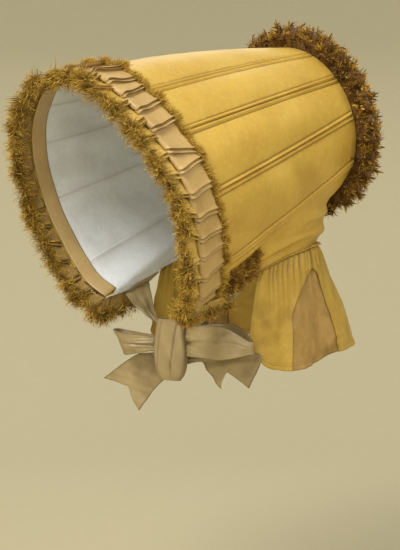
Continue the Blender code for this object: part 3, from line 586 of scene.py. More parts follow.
def silk(name, light, dark, rough=0.42, sheen=0.25, weave=WEAVE, slub=0.10, wrinkle=0.0006,
         ribs=False, selvedge=0.0, stain=None, specular=0.45, anisotropic=0.0, seam=None,
         painted_shade=False):
    """Woven silk with slubs, tone changes, fine weave and small wrinkles, and painted shade from the mesh's
    tone attribute when that is switched on.
    """
    mat = bpy.data.materials.new(name)
    mat.use_nodes = True
    tree = mat.node_tree
    shader = tree.nodes["Principled BSDF"]
    place = tree.nodes.new("ShaderNodeTexCoord").outputs["Object"]
    uv = node(tree, "ShaderNodeUVMap", uv_map="cloth").outputs[0]
    height = weave_height(tree, uv, weave)
    broad = noise(tree, place, 16.0, 3.0)
    colour = mix_colour(tree, ramp(tree, broad, 0.32, 0.68), dark, light)
    stretch = node(tree, "ShaderNodeMapping")
    stretch.inputs["Scale"].default_value = (55.0, 900.0, 1.0)
    tree.links.new(uv, stretch.inputs["Vector"])
    slubs = noise(tree, stretch.outputs[0], 1.0, 3.0)
    shade = [c * 0.62 for c in dark]
    colour = mix_colour(tree, maths(tree, "MULTIPLY", ramp(tree, slubs, 0.52, 0.80), slub * 3.0),
                        colour, shade)
    fine = noise(tree, place, 240.0, 3.0)
    colour = mix_colour(tree, maths(tree, "MULTIPLY", ramp(tree, fine, 0.45, 0.75), 0.22),
                        colour, [min(c * 1.25, 1.0) for c in light])
    if stain:
        marks = noise(tree, place, 42.0, 5.0, 0.65)
        colour = mix_colour(tree, maths(tree, "MULTIPLY", ramp(tree, marks, 0.56, 0.74), stain),
                            colour, [c * 0.55 for c in dark])
    # Painted shade: where the mesh's tone is below 1 (folds, grooves, gathers, creases) the colour is
    # darkened toward deep brown.
    if painted_shade:
        tone = node(tree, "ShaderNodeVertexColor", layer_name="tone").outputs["Color"]
        deep = maths(tree, "SUBTRACT", 1.0, tone)
        colour = mix_colour(tree, deep, colour, [dark[0] * 0.34, dark[1] * 0.25, dark[2] * 0.15])
    bumps = maths(tree, "MULTIPLY", height, 0.10)
    bumps = maths(tree, "ADD", bumps, maths(tree, "MULTIPLY", slubs, 0.5))
    if ribs:
        rib = tree.nodes.new("ShaderNodeSeparateXYZ")
        tree.links.new(node(tree, "ShaderNodeUVMap", uv_map="rib").outputs[0], rib.inputs[0])
        off = maths(tree, "ABSOLUTE", rib.outputs[0])
        line = maths(tree, "ABSOLUTE", maths(tree, "SUBTRACT", off, 0.0046))
        near = maths(tree, "SUBTRACT", 1.0, ramp(tree, line, 0.0002, 0.0008))
        inner = maths(tree, "SUBTRACT", 1.0, ramp(tree, off, 0.0002, 0.0008))
        near = maths(tree, "MAXIMUM", near, inner)
        # Dashed dark stitches along the rib lines, over a steady darker line that is painted shade in the
        # grooves beside the cords.
        stitched = stitched_line(tree, near, rib.outputs[1], None, 0.45, 0.35)
        colour = mix_colour(tree, stitched, colour, [c * 0.28 for c in dark])
        bumps = maths(tree, "SUBTRACT", bumps, maths(tree, "MULTIPLY", stitched, 1.4))
    if seam:
        wide = tree.nodes.new("ShaderNodeSeparateXYZ")
        tree.links.new(node(tree, "ShaderNodeUVMap", uv_map="edge").outputs[0], wide.inputs[0])
        line = maths(tree, "ABSOLUTE", maths(tree, "SUBTRACT", wide.outputs[1], seam))
        stitched = stitched_line(tree, line, wide.outputs[0], 0.0009, 0.35, 0.30)
        colour = mix_colour(tree, stitched, colour, [c * 0.40 for c in dark])
        bumps = maths(tree, "SUBTRACT", bumps, maths(tree, "MULTIPLY", stitched, 1.2))
    if selvedge:
        wide = tree.nodes.new("ShaderNodeSeparateXYZ")
        tree.links.new(node(tree, "ShaderNodeUVMap", uv_map="edge").outputs[0], wide.inputs[0])
        rim = maths(tree, "ABSOLUTE", maths(tree, "SUBTRACT", wide.outputs[1], 0.5))
        near = ramp(tree, rim, 0.462, 0.490)
        colour = mix_colour(tree, maths(tree, "MULTIPLY", near, selvedge), colour,
                            [c * 0.45 for c in dark])
    small = noise(tree, place, 130.0, 4.0)
    bump = node(tree, "ShaderNodeBump", Strength=0.55, Distance=0.00018)
    tree.links.new(bumps, bump.inputs["Height"])
    fold = node(tree, "ShaderNodeBump", Strength=0.6, Distance=wrinkle)
    tree.links.new(small, fold.inputs["Height"])
    tree.links.new(bump.outputs[0], fold.inputs["Normal"])
    tree.links.new(fold.outputs[0], shader.inputs["Normal"])
    tree.links.new(colour, shader.inputs["Base Color"])
    low = maths(tree, "MULTIPLY_ADD", noise(tree, place, 60.0), 0.16, rough - 0.08)
    tree.links.new(low, shader.inputs["Roughness"])
    shader.inputs["Sheen Weight"].default_value = sheen
    shader.inputs["Sheen Roughness"].default_value = 0.40
    shader.inputs["Sheen Tint"].default_value = (*[min(c * 1.6, 1.0) for c in light], 1.0)
    shader.inputs["Specular IOR Level"].default_value = specular
    shader.inputs["Anisotropic"].default_value = anisotropic
    return mat


def thread(name, low, middle, high, rough=0.6):
    """Loose silk threads, coloured by each thread's tone, which holds its own colour with painted shade at
    the roots and painted highlight at the tips.
    """
    mat = bpy.data.materials.new(name)
    mat.use_nodes = True
    tree = mat.node_tree
    shader = tree.nodes["Principled BSDF"]
    tone = node(tree, "ShaderNodeVertexColor", layer_name="tone").outputs["Color"]
    number = tree.nodes.new("ShaderNodeSeparateColor")
    tree.links.new(tone, number.inputs[0])
    place = tree.nodes.new("ShaderNodeTexCoord").outputs["Object"]
    patch = noise(tree, place, 90.0, 3.0)
    patch = maths(tree, "MULTIPLY", maths(tree, "SUBTRACT", patch, 0.5), 0.9)
    value = maths(tree, "ADD", number.outputs[0], patch)
    first = mix_colour(tree, ramp(tree, value, 0.05, 0.5), low, middle)
    colour = mix_colour(tree, ramp(tree, value, 0.5, 1.0), first, high)
    tree.links.new(colour, shader.inputs["Base Color"])
    fine = noise(tree, place, 900.0, 2.0)
    tree.links.new(maths(tree, "MULTIPLY_ADD", fine, 0.2, rough - 0.1), shader.inputs["Roughness"])
    bump = node(tree, "ShaderNodeBump", Strength=0.5, Distance=0.0001)
    tree.links.new(fine, bump.inputs["Height"])
    tree.links.new(bump.outputs[0], shader.inputs["Normal"])
    shader.inputs["Sheen Weight"].default_value = 0.05
    shader.inputs["Specular IOR Level"].default_value = 0.15
    return mat


GOLD = silk("gold_silk_cloth", (0.62, 0.42, 0.085), (0.50, 0.315, 0.052), 0.48, 0.08, ribs=True,
            stain=0.16, specular=0.28, painted_shade=True)
GOLD_PLAIN = silk("gold_silk_plain", (0.60, 0.40, 0.080), (0.47, 0.295, 0.050), 0.46, 0.10, stain=0.20)
# Curtain silks: the gold and the tan are set darker than the body's gold and the ruche's tan, which is
# painted shade on the hanging curtain.
GOLD_HEMMED_SHADED = silk("gold_silk_hemmed_painted_shade", (0.54, 0.37, 0.072), (0.41, 0.26, 0.044), 0.46, 0.10,
                   stain=0.22, seam=0.006, specular=0.3, painted_shade=True)
TAN_HEMMED_SHADED = silk("tan_silk_hemmed_painted_shade", (0.43, 0.275, 0.088), (0.29, 0.175, 0.050), 0.46, 0.08,
                  stain=0.45, seam=0.006, specular=0.3, painted_shade=True)
TAN = silk("tan_silk", (0.50, 0.345, 0.135), (0.38, 0.245, 0.083), 0.42, 0.10, stain=0.20, painted_shade=True)
FRILL_FRONT = silk("frill_silk_front", (0.60, 0.42, 0.105), (0.45, 0.285, 0.058), 0.42, 0.10, stain=0.22,
                   painted_shade=True)
# Inner face of the frill: a browner tan face of the ribbon, set darker still as painted shade where it faces
# into the bonnet.
FRILL_BACK_SHADED = silk("frill_silk_back_painted_shade", (0.37, 0.24, 0.082), (0.25, 0.150, 0.045), 0.46, 0.10, stain=0.25,
                  painted_shade=True)
BINDING = silk("binding_satin", (0.47, 0.335, 0.155), (0.37, 0.255, 0.108), 0.38, 0.08, slub=0.05)
LINING = silk("lining_ivory", (0.70, 0.74, 0.80), (0.60, 0.64, 0.69), 0.60, 0.08, slub=0.05,
              wrinkle=0.0010, stain=0.12, specular=0.3, painted_shade=True)
SATIN = silk("bow_satin_ribbon", (0.365, 0.280, 0.140), (0.250, 0.182, 0.082), 0.31, 0.05, weave=0.0003,
             slub=0.04, wrinkle=0.0004, selvedge=0.7, anisotropic=0.35, specular=0.62,
             painted_shade=True)
NECK_SILK = silk("neck_trim_silk_cloth", (0.20, 0.125, 0.050), (0.10, 0.055, 0.018), 0.5, 0.1, stain=0.4)
OLIVE = thread("olive_gold_threads", (0.085, 0.040, 0.003), (0.330, 0.190, 0.018), (0.62, 0.41, 0.080))
BROWN = thread("brown_gold_threads", (0.055, 0.020, 0.003), (0.240, 0.120, 0.012), (0.58, 0.36, 0.070))
BROWN_SILK = silk("crown_ruche_silk_cloth", (0.17, 0.085, 0.020), (0.070, 0.030, 0.007), 0.5, 0.25,
                  stain=0.4)


# Pieces

def along_edge():
    """Turns and running lengths of the brim edge from corner to corner."""
    turns = np.linspace(-CORNER_TURN, CORNER_TURN, 2001)
    steps = np.linalg.norm(np.diff(wall(turns, 1.0), axis=0), axis=1)
    return turns, np.concatenate([[0.0], np.cumsum(steps)])


EDGE_TURNS, EDGE_RUN = along_edge()
PITCH = EDGE_RUN[-1] / PLEATS


def body_turns(share):
    """Turns of the body's columns at each share, and each column's way from its nearest rib."""
    near = 0.008
    fine = np.linspace(0.0, near, 15)
    ribs = [-r for r in reversed(RIB_TURNS)] + list(RIB_TURNS)
    stops = [-360.0 + RIB_TURNS[-1]] + ribs + [360.0 - RIB_TURNS[-1]]
    rate = {}
    for stop in stops:
        low, high = wall(stop - 0.5, share), wall(stop + 0.5, share)
        rate[stop] = np.linalg.norm(high - low, axis=-1)
    turns, offs = [], []
    for low, high in zip(stops, stops[1:]):
        count = 13 if high - low < 40.0 else 20
        for x in fine[:-1]:
            turns.append(low + x / rate[low])
            offs.append(np.full(len(share), x))
        start, end = low + near / rate[low], high - near / rate[high]
        for k in range(count + 1):
            part = k / count
            turns.append(start + (end - start) * part)
            reach = near + min(part, 1.0 - part) * 0.03
            offs.append(np.full(len(share), reach if part <= 0.5 else -reach))
        for x in fine[::-1][1:-1]:
            turns.append(high - x / rate[high])
            offs.append(np.full(len(share), -x))
    turns, offs = np.array(turns).T, np.array(offs).T
    keep = (turns[0] >= -180.0) & (turns[0] <= 180.0)
    turns, offs = turns[:, keep], offs[:, keep]
    first = np.full((len(share), 1), -180.0)
    turns = np.concatenate([first, turns, -first], axis=1)
    offs = np.concatenate([offs[:, :1], offs, offs[:, -1:]], axis=1)
    return turns, offs


def cord_height(off):
    """Two cords beside a rib line, with the grooves between and beside them."""
    x = np.abs(off) * 1000.0
    high = 1.9 * np.exp(-((x - 2.5) / 0.95) ** 2) - 0.8 * np.exp(-(x / 0.7) ** 2)
    return (high - 0.6 * np.exp(-((x - 4.9) / 0.7) ** 2)) / 1000.0


def drag_folds(turns, share, points):
    """Soft folds in the panels, strongest low on the sides, and small fine ripples all over."""
    size = np.abs(turns)
    low = np.clip((size - 80.0) / 40.0, 0.0, 1.0)
    slant = share * 9.0 + size / 26.0
    soft = np.sin(slant * 1.7 + 1.8 * ripple(points, 0.07, 3)) * 0.0021 * low
    soft = soft + ripple(points, 0.035, 9) * 0.0007 * (0.45 + low)
    soft = soft + ripple(points, 0.014, 17) * 0.00022
    return soft * np.sin(np.pi * np.clip(share, 0.0, 1.0)) ** 0.5


def make_body():
    """Gold silk over the stiffened body with its rib pairs."""
    share = np.concatenate([[0.0, 0.004], np.linspace(0.012, 1.0, 96)])
    turns, offs = body_turns(share)
    stations = np.broadcast_to(share[:, None], turns.shape)
    plain = wall(turns, stations)
    run = stations * line_long(turns)
    away = np.abs(offs)
    fade = np.clip((away - 0.0032) / 0.0018, 0.0, 1.0) * np.exp(-np.clip(away - 0.005, 0, 1) / 0.0035)
    pucker = np.sin(run / 0.0042 * 2 * np.pi * (1 + 0.1 * ripple_at(run, 0.03)) + turns) * 0.00022 * fade
    end = np.clip(np.minimum(share, 1.0 - share) / 0.01, 0.0, 1.0)[:, None]
    drag = np.clip(drag_folds(turns, stations, plain), -0.0010, 1.0) * np.clip(away / 0.014, 0.0, 1.0)
    side = np.clip((np.abs(turns) - 100.0) / 20.0, 0.0, 1.0)
    lift = WALL / 2.0 + 0.0007 + cord_height(offs) * (1.0 + 0.35 * side) * end + (pucker + drag) * end
    # Painted shade: darker in the grooves beside the cords (more so on the sides), in the valleys of the drag
    # folds, and light and dark over the puckers.
    groove = np.exp(-(away / 0.0007) ** 2) + 0.9 * np.exp(-((away - 0.0047) / 0.0009) ** 2)
    tones = 1.0 - groove * (0.34 + 0.22 * side) * end - np.clip(-drag / 0.002, 0.0, 1.0) * 0.30
    tones = np.clip(tones - np.clip(pucker / 0.0002, -1.0, 1.0) * 0.10, 0.0, 1.0)
    points = wall(turns, stations, lift)
    rib = paired(away, run)
    obj = sheet_object("body_silk", points, [GOLD], {"rib": rib}, 0.0, tones=tones)
    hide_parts("crown_shell")
    return obj


def lining_stop(turn):
    """Share where the lining meets the binding or the neck edge."""
    short = np.where(np.abs(turn) <= CORNER_TURN, BINDING_WIDE, 0.0015)
    return 1.0 - (short + GAP) / line_long(turn)


def make_lining():
    """Ivory lining with its seams and soft wrinkles, closed at the back by a gathered disc."""
    turns = np.linspace(-180.0, 180.0, 361)
    part = np.linspace(0.0, 1.0, 56)
    share = 0.012 + (lining_stop(turns)[None, :] - 0.012) * part[:, None]
    grid = np.broadcast_to(turns[None, :], share.shape)
    plain = wall(grid, share)
    rate = np.linalg.norm(wall(grid + 0.5, share) - wall(grid - 0.5, share), axis=-1)
    seam = np.zeros(grid.shape)
    for stop in RIB_TURNS:
        off = (np.abs(grid) - stop) * rate
        flank = np.exp(-((np.abs(off) - 0.0032) / 0.0012) ** 2)
        seam += np.exp(-(off / 0.0013) ** 2) * 0.0010 - flank * 0.0003
    soft = ripple(plain, 0.030, 5) * 0.0008 + ripple(plain, 0.011, 15) * 0.0003
    slack = np.sin(share * 60.0 + 2.0 * ripple(plain, 0.03, 21)) * 0.0003
    edge = np.clip(np.minimum(part, 1.0 - part) / 0.04, 0.0, 1.0)[:, None]
    lift = -WALL / 2.0 - LINING_GAP - LINING_WALL * 0.7 - seam * edge
    lift = lift + (soft + slack) * edge * 0.6 - 0.0004 * edge
    points = wall(grid, share, lift)
    rings = []
    around = np.radians(turns)
    for radius in np.linspace(0.955, 0.02, 16):
        gathers = np.sin(around * 46.0 + 2.0 * ripple_at(turns, 40.0))
        gathers = 0.0011 * gathers * np.sin(np.pi * radius) ** 0.7
        behind = -0.0032 - 0.0006 * (1 - radius) + gathers * 0.6
        rings.append(rear_plane(around, REAR_HALF * radius, behind))
    points = np.concatenate([np.array(rings)[::-1], points])
    # Painted shade: darker along the seam ridges and their flanks and in the dips of the soft wrinkles; the
    # back disc is left unshaded.
    back = np.ones((16, len(turns)))
    near = np.clip(np.concatenate([back * 0.0, seam]) / 0.0010, -0.4, 1.0)
    beside = np.concatenate([back * 0.0, edge * np.clip(-soft / 0.0009, 0.0, 1.0)])
    tones = np.clip(1.0 - 0.32 * np.abs(near) - 0.14 * beside, 0.0, 1.0)
    obj = sheet_object("lining_silk", points, [LINING], None, 0.0, tones=tones)
    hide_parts("lining")
    return obj


def make_binding():
    """Smooth satin band inside the brim edge; the stitching along its inner side is not drawn."""
    turns = np.linspace(-CORNER_TURN, CORNER_TURN, 360)
    back = np.linspace(BINDING_WIDE, 0.0002, 10)
    share = 1.0 - back[:, None] / line_long(turns)[None, :]
    grid = np.broadcast_to(turns[None, :], share.shape)
    plain = wall(grid, share)
    bow = np.sin(np.pi * back / BINDING_WIDE)[:, None]
    lift = -WALL / 2.0 - GAP - 0.0013 - 0.0005 * bow + ripple(plain, 0.012, 11) * 0.00025 * bow
    points = wall(grid, share, lift)
    run = np.interp(grid, EDGE_TURNS, EDGE_RUN)
    edge = paired(run, BINDING_WIDE - back[:, None])
    obj = sheet_object("binding_satin_band", points, [BINDING], {"edge": edge}, 0.0006)
    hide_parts("brim_binding")
    return obj


def make_tip():
    """Gold disc gathered to its middle at the back of the crown."""
    turns = np.linspace(0.0, 360.0, 229)
    radii = np.linspace(0.01, 0.998, 32)
    around = np.radians(turns)[None, :]
    radius = radii[:, None]
    gathers = np.sin(around * 38.0 + 1.8 * ripple_at(turns, 30.0)[None, :] + radius * 2.0)
    depth = 0.0007 * gathers * np.clip(radius * 5.0, 0, 1) * np.clip((1.0 - radius) * 8.0, 0, 1)
    dome = TIP_DOME * (1.0 - radius ** 2.2)
    behind = GAP * 2.0 + WALL + 0.0008 + dome + depth
    points = rear_plane(around, REAR_HALF * radius, behind)
    obj = sheet_object("crown_tip_silk", points, [GOLD_PLAIN], None, 0.0)
    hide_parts("crown_tip")
    return obj


def pleat_run(start, end, pitch, rng):
    """Columns of a pleated strip: run along the edge, height share and pleat number."""
    count = max(int(round((end - start) / pitch)), 1)
    cuts = np.linspace(start, end, count + 1)
    cuts[1:-1] += rng.normal(0.0, 0.07 * pitch, count - 1)
    run, high, number = [], [], []
    for k in range(count):
        long = cuts[k + 1] - cuts[k]
        tall = rng.uniform(0.75, 1.2)
        for part, lift in PLEAT_FORM:
            run.append(cuts[k] + part * long)
            high.append(lift * tall)
            number.append(k)
    run.append(end)
    high.append(PLEAT_FORM[0][1])
    number.append(count - 1)
    run, high, number = np.array(run), np.array(high), np.array(number)
    fine = np.arange(0, len(run) - 1 + 1e-9, 0.5)
    spot = np.arange(len(run))
    return np.interp(fine, spot, run), np.interp(fine, spot, high), number[np.floor(fine).astype(int)]


def pleat_painted_shade(run, rows):
    """Painted shade: dark where the cloth folds back under itself, light on the open panels."""
    back = (np.gradient(run) < 1e-6).astype(float)
    near = np.convolve(back, (0.25, 0.6, 1.0, 0.6, 0.25), "same")
    return np.broadcast_to(1.0 - 0.62 * np.clip(near, 0.0, 1.0), (rows, len(run)))


def pleat_lean(run, number, reach, rng_values):
    """Slant and small wander of the folds across the strip."""
    lean = rng_values[number % len(rng_values)]
    spots = np.broadcast_arrays(run / 3.0, reach, number * 0.013)
    wander = ripple(np.stack(spots, axis=-1), 0.010, 12)
    return lean * reach * 0.22 + wander * 0.0007


def make_ruche(rng):
    """Tan ribbon pleats lying on the body behind the brim edge, and their frayed edge."""
    run, high, number = pleat_run(0.0, EDGE_RUN[-1], PITCH, rng)
    reach = np.concatenate([[-0.0012, -0.0018, -0.0012, 0.0, 0.0012], np.linspace(0.003, RUCHE_WIDE, 9)])
    sink = np.concatenate([[0.0032, 0.0020, 0.0008, 0.0002, 0.0], np.zeros(9)])[:, None]
    leans = rng.normal(0.0, 1.0, 64)
    swell = np.interp(reach, (-0.0012, 0.0, 0.004, 0.010, RUCHE_WIDE * 0.8, RUCHE_WIDE),
                      (0.6, 1.1, 1.15, 0.85, 0.85, 1.15))
    runs = run[None, :] + pleat_lean(run[None, :], number[None, :], reach[:, None], leans)
    runs = np.clip(runs, 0.0, EDGE_RUN[-1])
    turns = np.interp(runs, EDGE_RUN, EDGE_TURNS)
    share = 1.0 - reach[:, None] / line_long(turns)
    base = WALL / 2.0 + CORD_HIGH + GAP + 0.0003
    lift = base - sink + PLEAT_TALL * high[None, :] * swell[:, None]
    plain = wall(turns, share)
    lift = lift + ripple(plain, 0.009, 20) * 0.0004
    points = wall(turns, share, lift)
    obj = sheet_object("ruche_ribbon", points, [TAN], None, 0.0003, tones=pleat_painted_shade(run, len(reach)))
    count = RUCHE_THREADS
    col, frac = along_row(points[-1], count, rng)
    far = points[-1]
    near = points[-3]
    roots = far[col] * (1 - frac) + far[col + 1] * frac
    ways = unit(far[col] - near[col])
    turn = turns[-1][col]
    out = wall_normal(turn, 0.9)
    back = rng.uniform(0.0, 0.0025, count)
    roots = roots - ways * back[:, None] + out * rng.normal(0.0, 0.0005, count)[:, None]
    long = RUCHE_FRINGE * rng.uniform(0.35, 1.0, count) * (0.8 + 0.25 * np.sin(roots[:, 2] * 400.0))
    frizz("ruche_fringe", roots, ways, out, long + back, OLIVE, 0.30, rng, down=0.1, pull=0.35,
          wide=0.00052, keep=True, steps=3, tones=np.full(count, 0.36))
    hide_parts("brim_ruche")
    return obj


def along_row(row, count, rng):
    """Places along a row of points, even by its length: column and share to the next."""
    steps = np.linalg.norm(np.diff(row, axis=0), axis=1) + 1e-7
    run = np.concatenate([[0.0], np.cumsum(steps)])
    where = rng.uniform(0.0, run[-1], count)
    col = np.clip(np.searchsorted(run, where) - 1, 0, len(steps) - 1)
    return col, ((where - run[col]) / steps[col])[:, None]


def frizz(name, roots, ways, lifts, lengths, look, curl, rng, down=0.0, steps=4, wide=0.00036,
          clump=0.0030, pull=0.55, tones=None, keep=False):
    """Frayed threads: each wanders as it goes and leans toward its tuft."""
    count = len(roots)
    ways, lifts = unit(ways), unit(lifts)
    cells = np.floor(roots / clump + 0.5)
    key = cells @ np.array([12.9898, 78.233, 37.719])
    draw = np.sin(key[:, None] * np.array([1.0, 2.3, 3.7]) * 43.7585) * 0.5
    spread = rng.normal(0.0, 0.30, (count, 3))
    heading = unit(ways + draw * pull + spread * 0.8 - lifts * down)

    def above(way):
        """A way turned back outward where it would go under the cloth."""
        dip = np.minimum(np.sum(way * lifts, axis=-1, keepdims=True) - 0.1, 0.0)
        return unit(way - 2.0 * dip * lifts) if keep else way

    heading = above(heading)
    place = roots.copy()
    verts = np.zeros((count, steps + 1, 2, 3))
    flat = unit(np.cross(heading, unit(rng.normal(0, 1, (count, 3)))))
    turning = rng.normal(0.0, curl, (count, 3)) * 0.8
    for k in range(steps + 1):
        half = wide * (0.45 + 1.1 * math.sin(math.pi * min(k / steps * 0.8 + 0.15, 1.0))) / 3.0
        verts[:, k, 0] = place - flat * half
        verts[:, k, 1] = place + flat * half
        heading = above(unit(heading + turning + rng.normal(0.0, curl * 0.9, (count, 3))))
        place = place + heading * (lengths / steps)[:, None]
    index = np.arange(count * (steps + 1) * 2).reshape(count, steps + 1, 2)
    faces = np.stack(
        [index[:, :-1, 0], index[:, :-1, 1], index[:, 1:, 1], index[:, 1:, 0]], axis=-1
    ).reshape(-1, 4)
    base = 0.5 + 0.5 * np.sin(key * 17.13) * 0.55 + rng.normal(0.0, 0.16, count)
    if tones is not None:
        base = base * 0.5 + tones
    # Painted shade and highlight: each thread darkens toward its root and lightens toward its tip, over its
    # own random tone and the given tones.
    tone = base[:, None, None] + (np.arange(steps + 1) / steps - 0.45)[None, :, None] * 0.45
    tone = np.clip(np.broadcast_to(tone, (count, steps + 1, 2)), 0.0, 1.0)
    return mesh_object(name, verts.reshape(-1, 3), faces, [look], tones=tone.reshape(-1))


def edge_frames(turns):
    """Edge points, the way on along the generators, and the outward directions."""
    along = unit(wall(turns, 1.0) - wall(turns, 0.9))
    return wall(turns, 1.0), along, wall_normal(turns, 0.99)


def frill_line():
    """Frames of the front ruche round the brim and both corners, one for each fine column."""
    turns = np.interp(np.linspace(0, EDGE_RUN[-1], 1400), EDGE_RUN, EDGE_TURNS)
    points, ways, lifts = edge_frames(turns)
    longs = np.interp(turns, (-110.0, -20.0, 20.0, 70.0), (1.06, 1.0, 1.0, 0.88))
    parts = [(points, ways, lifts, longs)]
    for side, long in ((1.0, WRAP_LEFT), (-1.0, WRAP_RIGHT)):
        point, along, normal = (v[0] for v in edge_frames(np.array([side * CORNER_TURN])))
        _, _, last = (v[0] for v in edge_frames(np.array([side * (CORNER_TURN + WRAP_TURN)])))
        wrap = CORNER_TURN + WRAP_TURN
        ahead = wall(side * (wrap + 1.0), 1.0) - wall(side * (wrap - 1.0), 1.0)
        down = unit(np.cross(last, ahead))
        down = down if down[2] < 0.0 else -down
        end = wall(side * NECK_COLUMN, 1.0)
        part = np.linspace(0.01, 1.0, 120)[:, None]
        swing = np.minimum(part / WRAP_SWING, 1.0)
        slide = np.maximum((part - WRAP_SLIDE) / (1.0 - WRAP_SLIDE), 0.0)
        slide = np.minimum(slide + WRAP_CREEP * part, 1.0)
        way = unit(along * (1.0 - swing) + down * swing)
        reach = slide * WRAP_TURN / (NECK_COLUMN - CORNER_TURN)
        place = point + (end - point) * reach + way * 0.0003
        outward = unit(normal + (last - normal) * part)
        first = 0.88 if side > 0.0 else 1.06
        extra = (place, way, outward, first + (long - first) * swing[:, 0])
        if side > 0:
            parts.append(extra)
        else:
            parts.insert(0, tuple(v[::-1] for v in extra))
    points, ways, lifts, longs = (np.concatenate([p[k] for p in parts]) for k in range(4))
    middle = points + ways * (FRILL_WIDE * 0.55 * longs)[:, None]
    steps = np.linalg.norm(np.diff(middle, axis=0), axis=1)
    return points, ways, lifts, longs, np.concatenate([[0.0], np.cumsum(steps)])


def make_frill(rng):
    """Gold ribbon pleats that stand forward of the brim edge, and their curly frayed edge."""
    points, ways, lifts, longs, line = frill_line()
    run, high, number = pleat_run(0.0, line[-1], PITCH * 0.97, rng)
    high = high + 0.10
    reach = np.concatenate([[0.0, 0.0008], np.linspace(0.0025, FRILL_WIDE, 9)])
    leans = rng.normal(0.0, 1.0, 64)
    tall = rng.uniform(0.75, 1.25, 64)[number % 64]
    swell = np.interp(reach / FRILL_WIDE, (0.0, 0.08, 0.25, 0.6, 1.0), (1.25, 1.45, 1.15, 1.0, 1.45))
    runs = run[None, :] + pleat_lean(run[None, :], number[None, :], reach[:, None], leans) * 1.2
    runs = np.clip(runs, 0.0, line[-1])

    def at(values):
        if values.ndim == 1:
            return np.interp(runs, line, values)
        return np.stack([np.interp(runs, line, values[:, k]) for k in range(3)], axis=-1)

    place, way, outward, long = at(points), unit(at(ways)), unit(at(lifts)), at(longs)
    ahead = reach[:, None] * long
    scallop = 1.0 - 0.12 * np.abs(np.sin(np.pi * (run[None, :] / PITCH))) * (reach[:, None] / FRILL_WIDE) ** 3
    ahead = ahead * scallop
    rise = PLEAT_TALL * (high[None, :] * swell[:, None] * tall[None, :] - 0.45) * 1.25 - ahead * FRILL_INWARD
    grid = place + way * (ahead + GAP * 2.0)[..., None] + outward * rise[..., None]
    grid = grid + outward * (ripple(grid, 0.009, 24) * 0.0005)[..., None]
    obj = sheet_object("frill_ribbon", grid, [FRILL_BACK_SHADED, FRILL_FRONT], None, 0.0003,
                       tones=pleat_painted_shade(run, len(reach)))
    count = FRILL_THREADS
    col, frac = along_row(grid[-1], count, rng)
    roots = grid[-1][col] * (1 - frac) + grid[-1][col + 1] * frac
    ways2 = unit(grid[-1][col] - grid[-4][col])
    out = outward[-1][col]
    back = rng.uniform(0.0, 0.0045, count)
    roots = roots - ways2 * back[:, None] + out * (rng.normal(0.0, 0.0009, count))[:, None]
    phase = np.abs(np.sin(np.pi * run[col] / (PITCH * 0.5) + 0.6 * ripple_at(run[col], 0.05)))
    span = FRILL_FRINGE * (0.62 + 0.85 * phase) * rng.uniform(0.60, 1.0, count)
    span = span * np.interp(runs[-1][col], line, longs)
    frizz("frill_fringe", roots, ways2, out, span + back * 0.7, OLIVE, 1.45, rng, down=0.10,
          clump=0.0050, pull=0.35, wide=0.00056, steps=4)
    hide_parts("brim_frill")
    return obj


def crown_place(turn, out, behind):
    """Points beside the rear edge: out from the edge in its plane and behind the plane."""
    return rear_plane(np.radians(turn), REAR_HALF + WALL / 2.0 + out, behind)


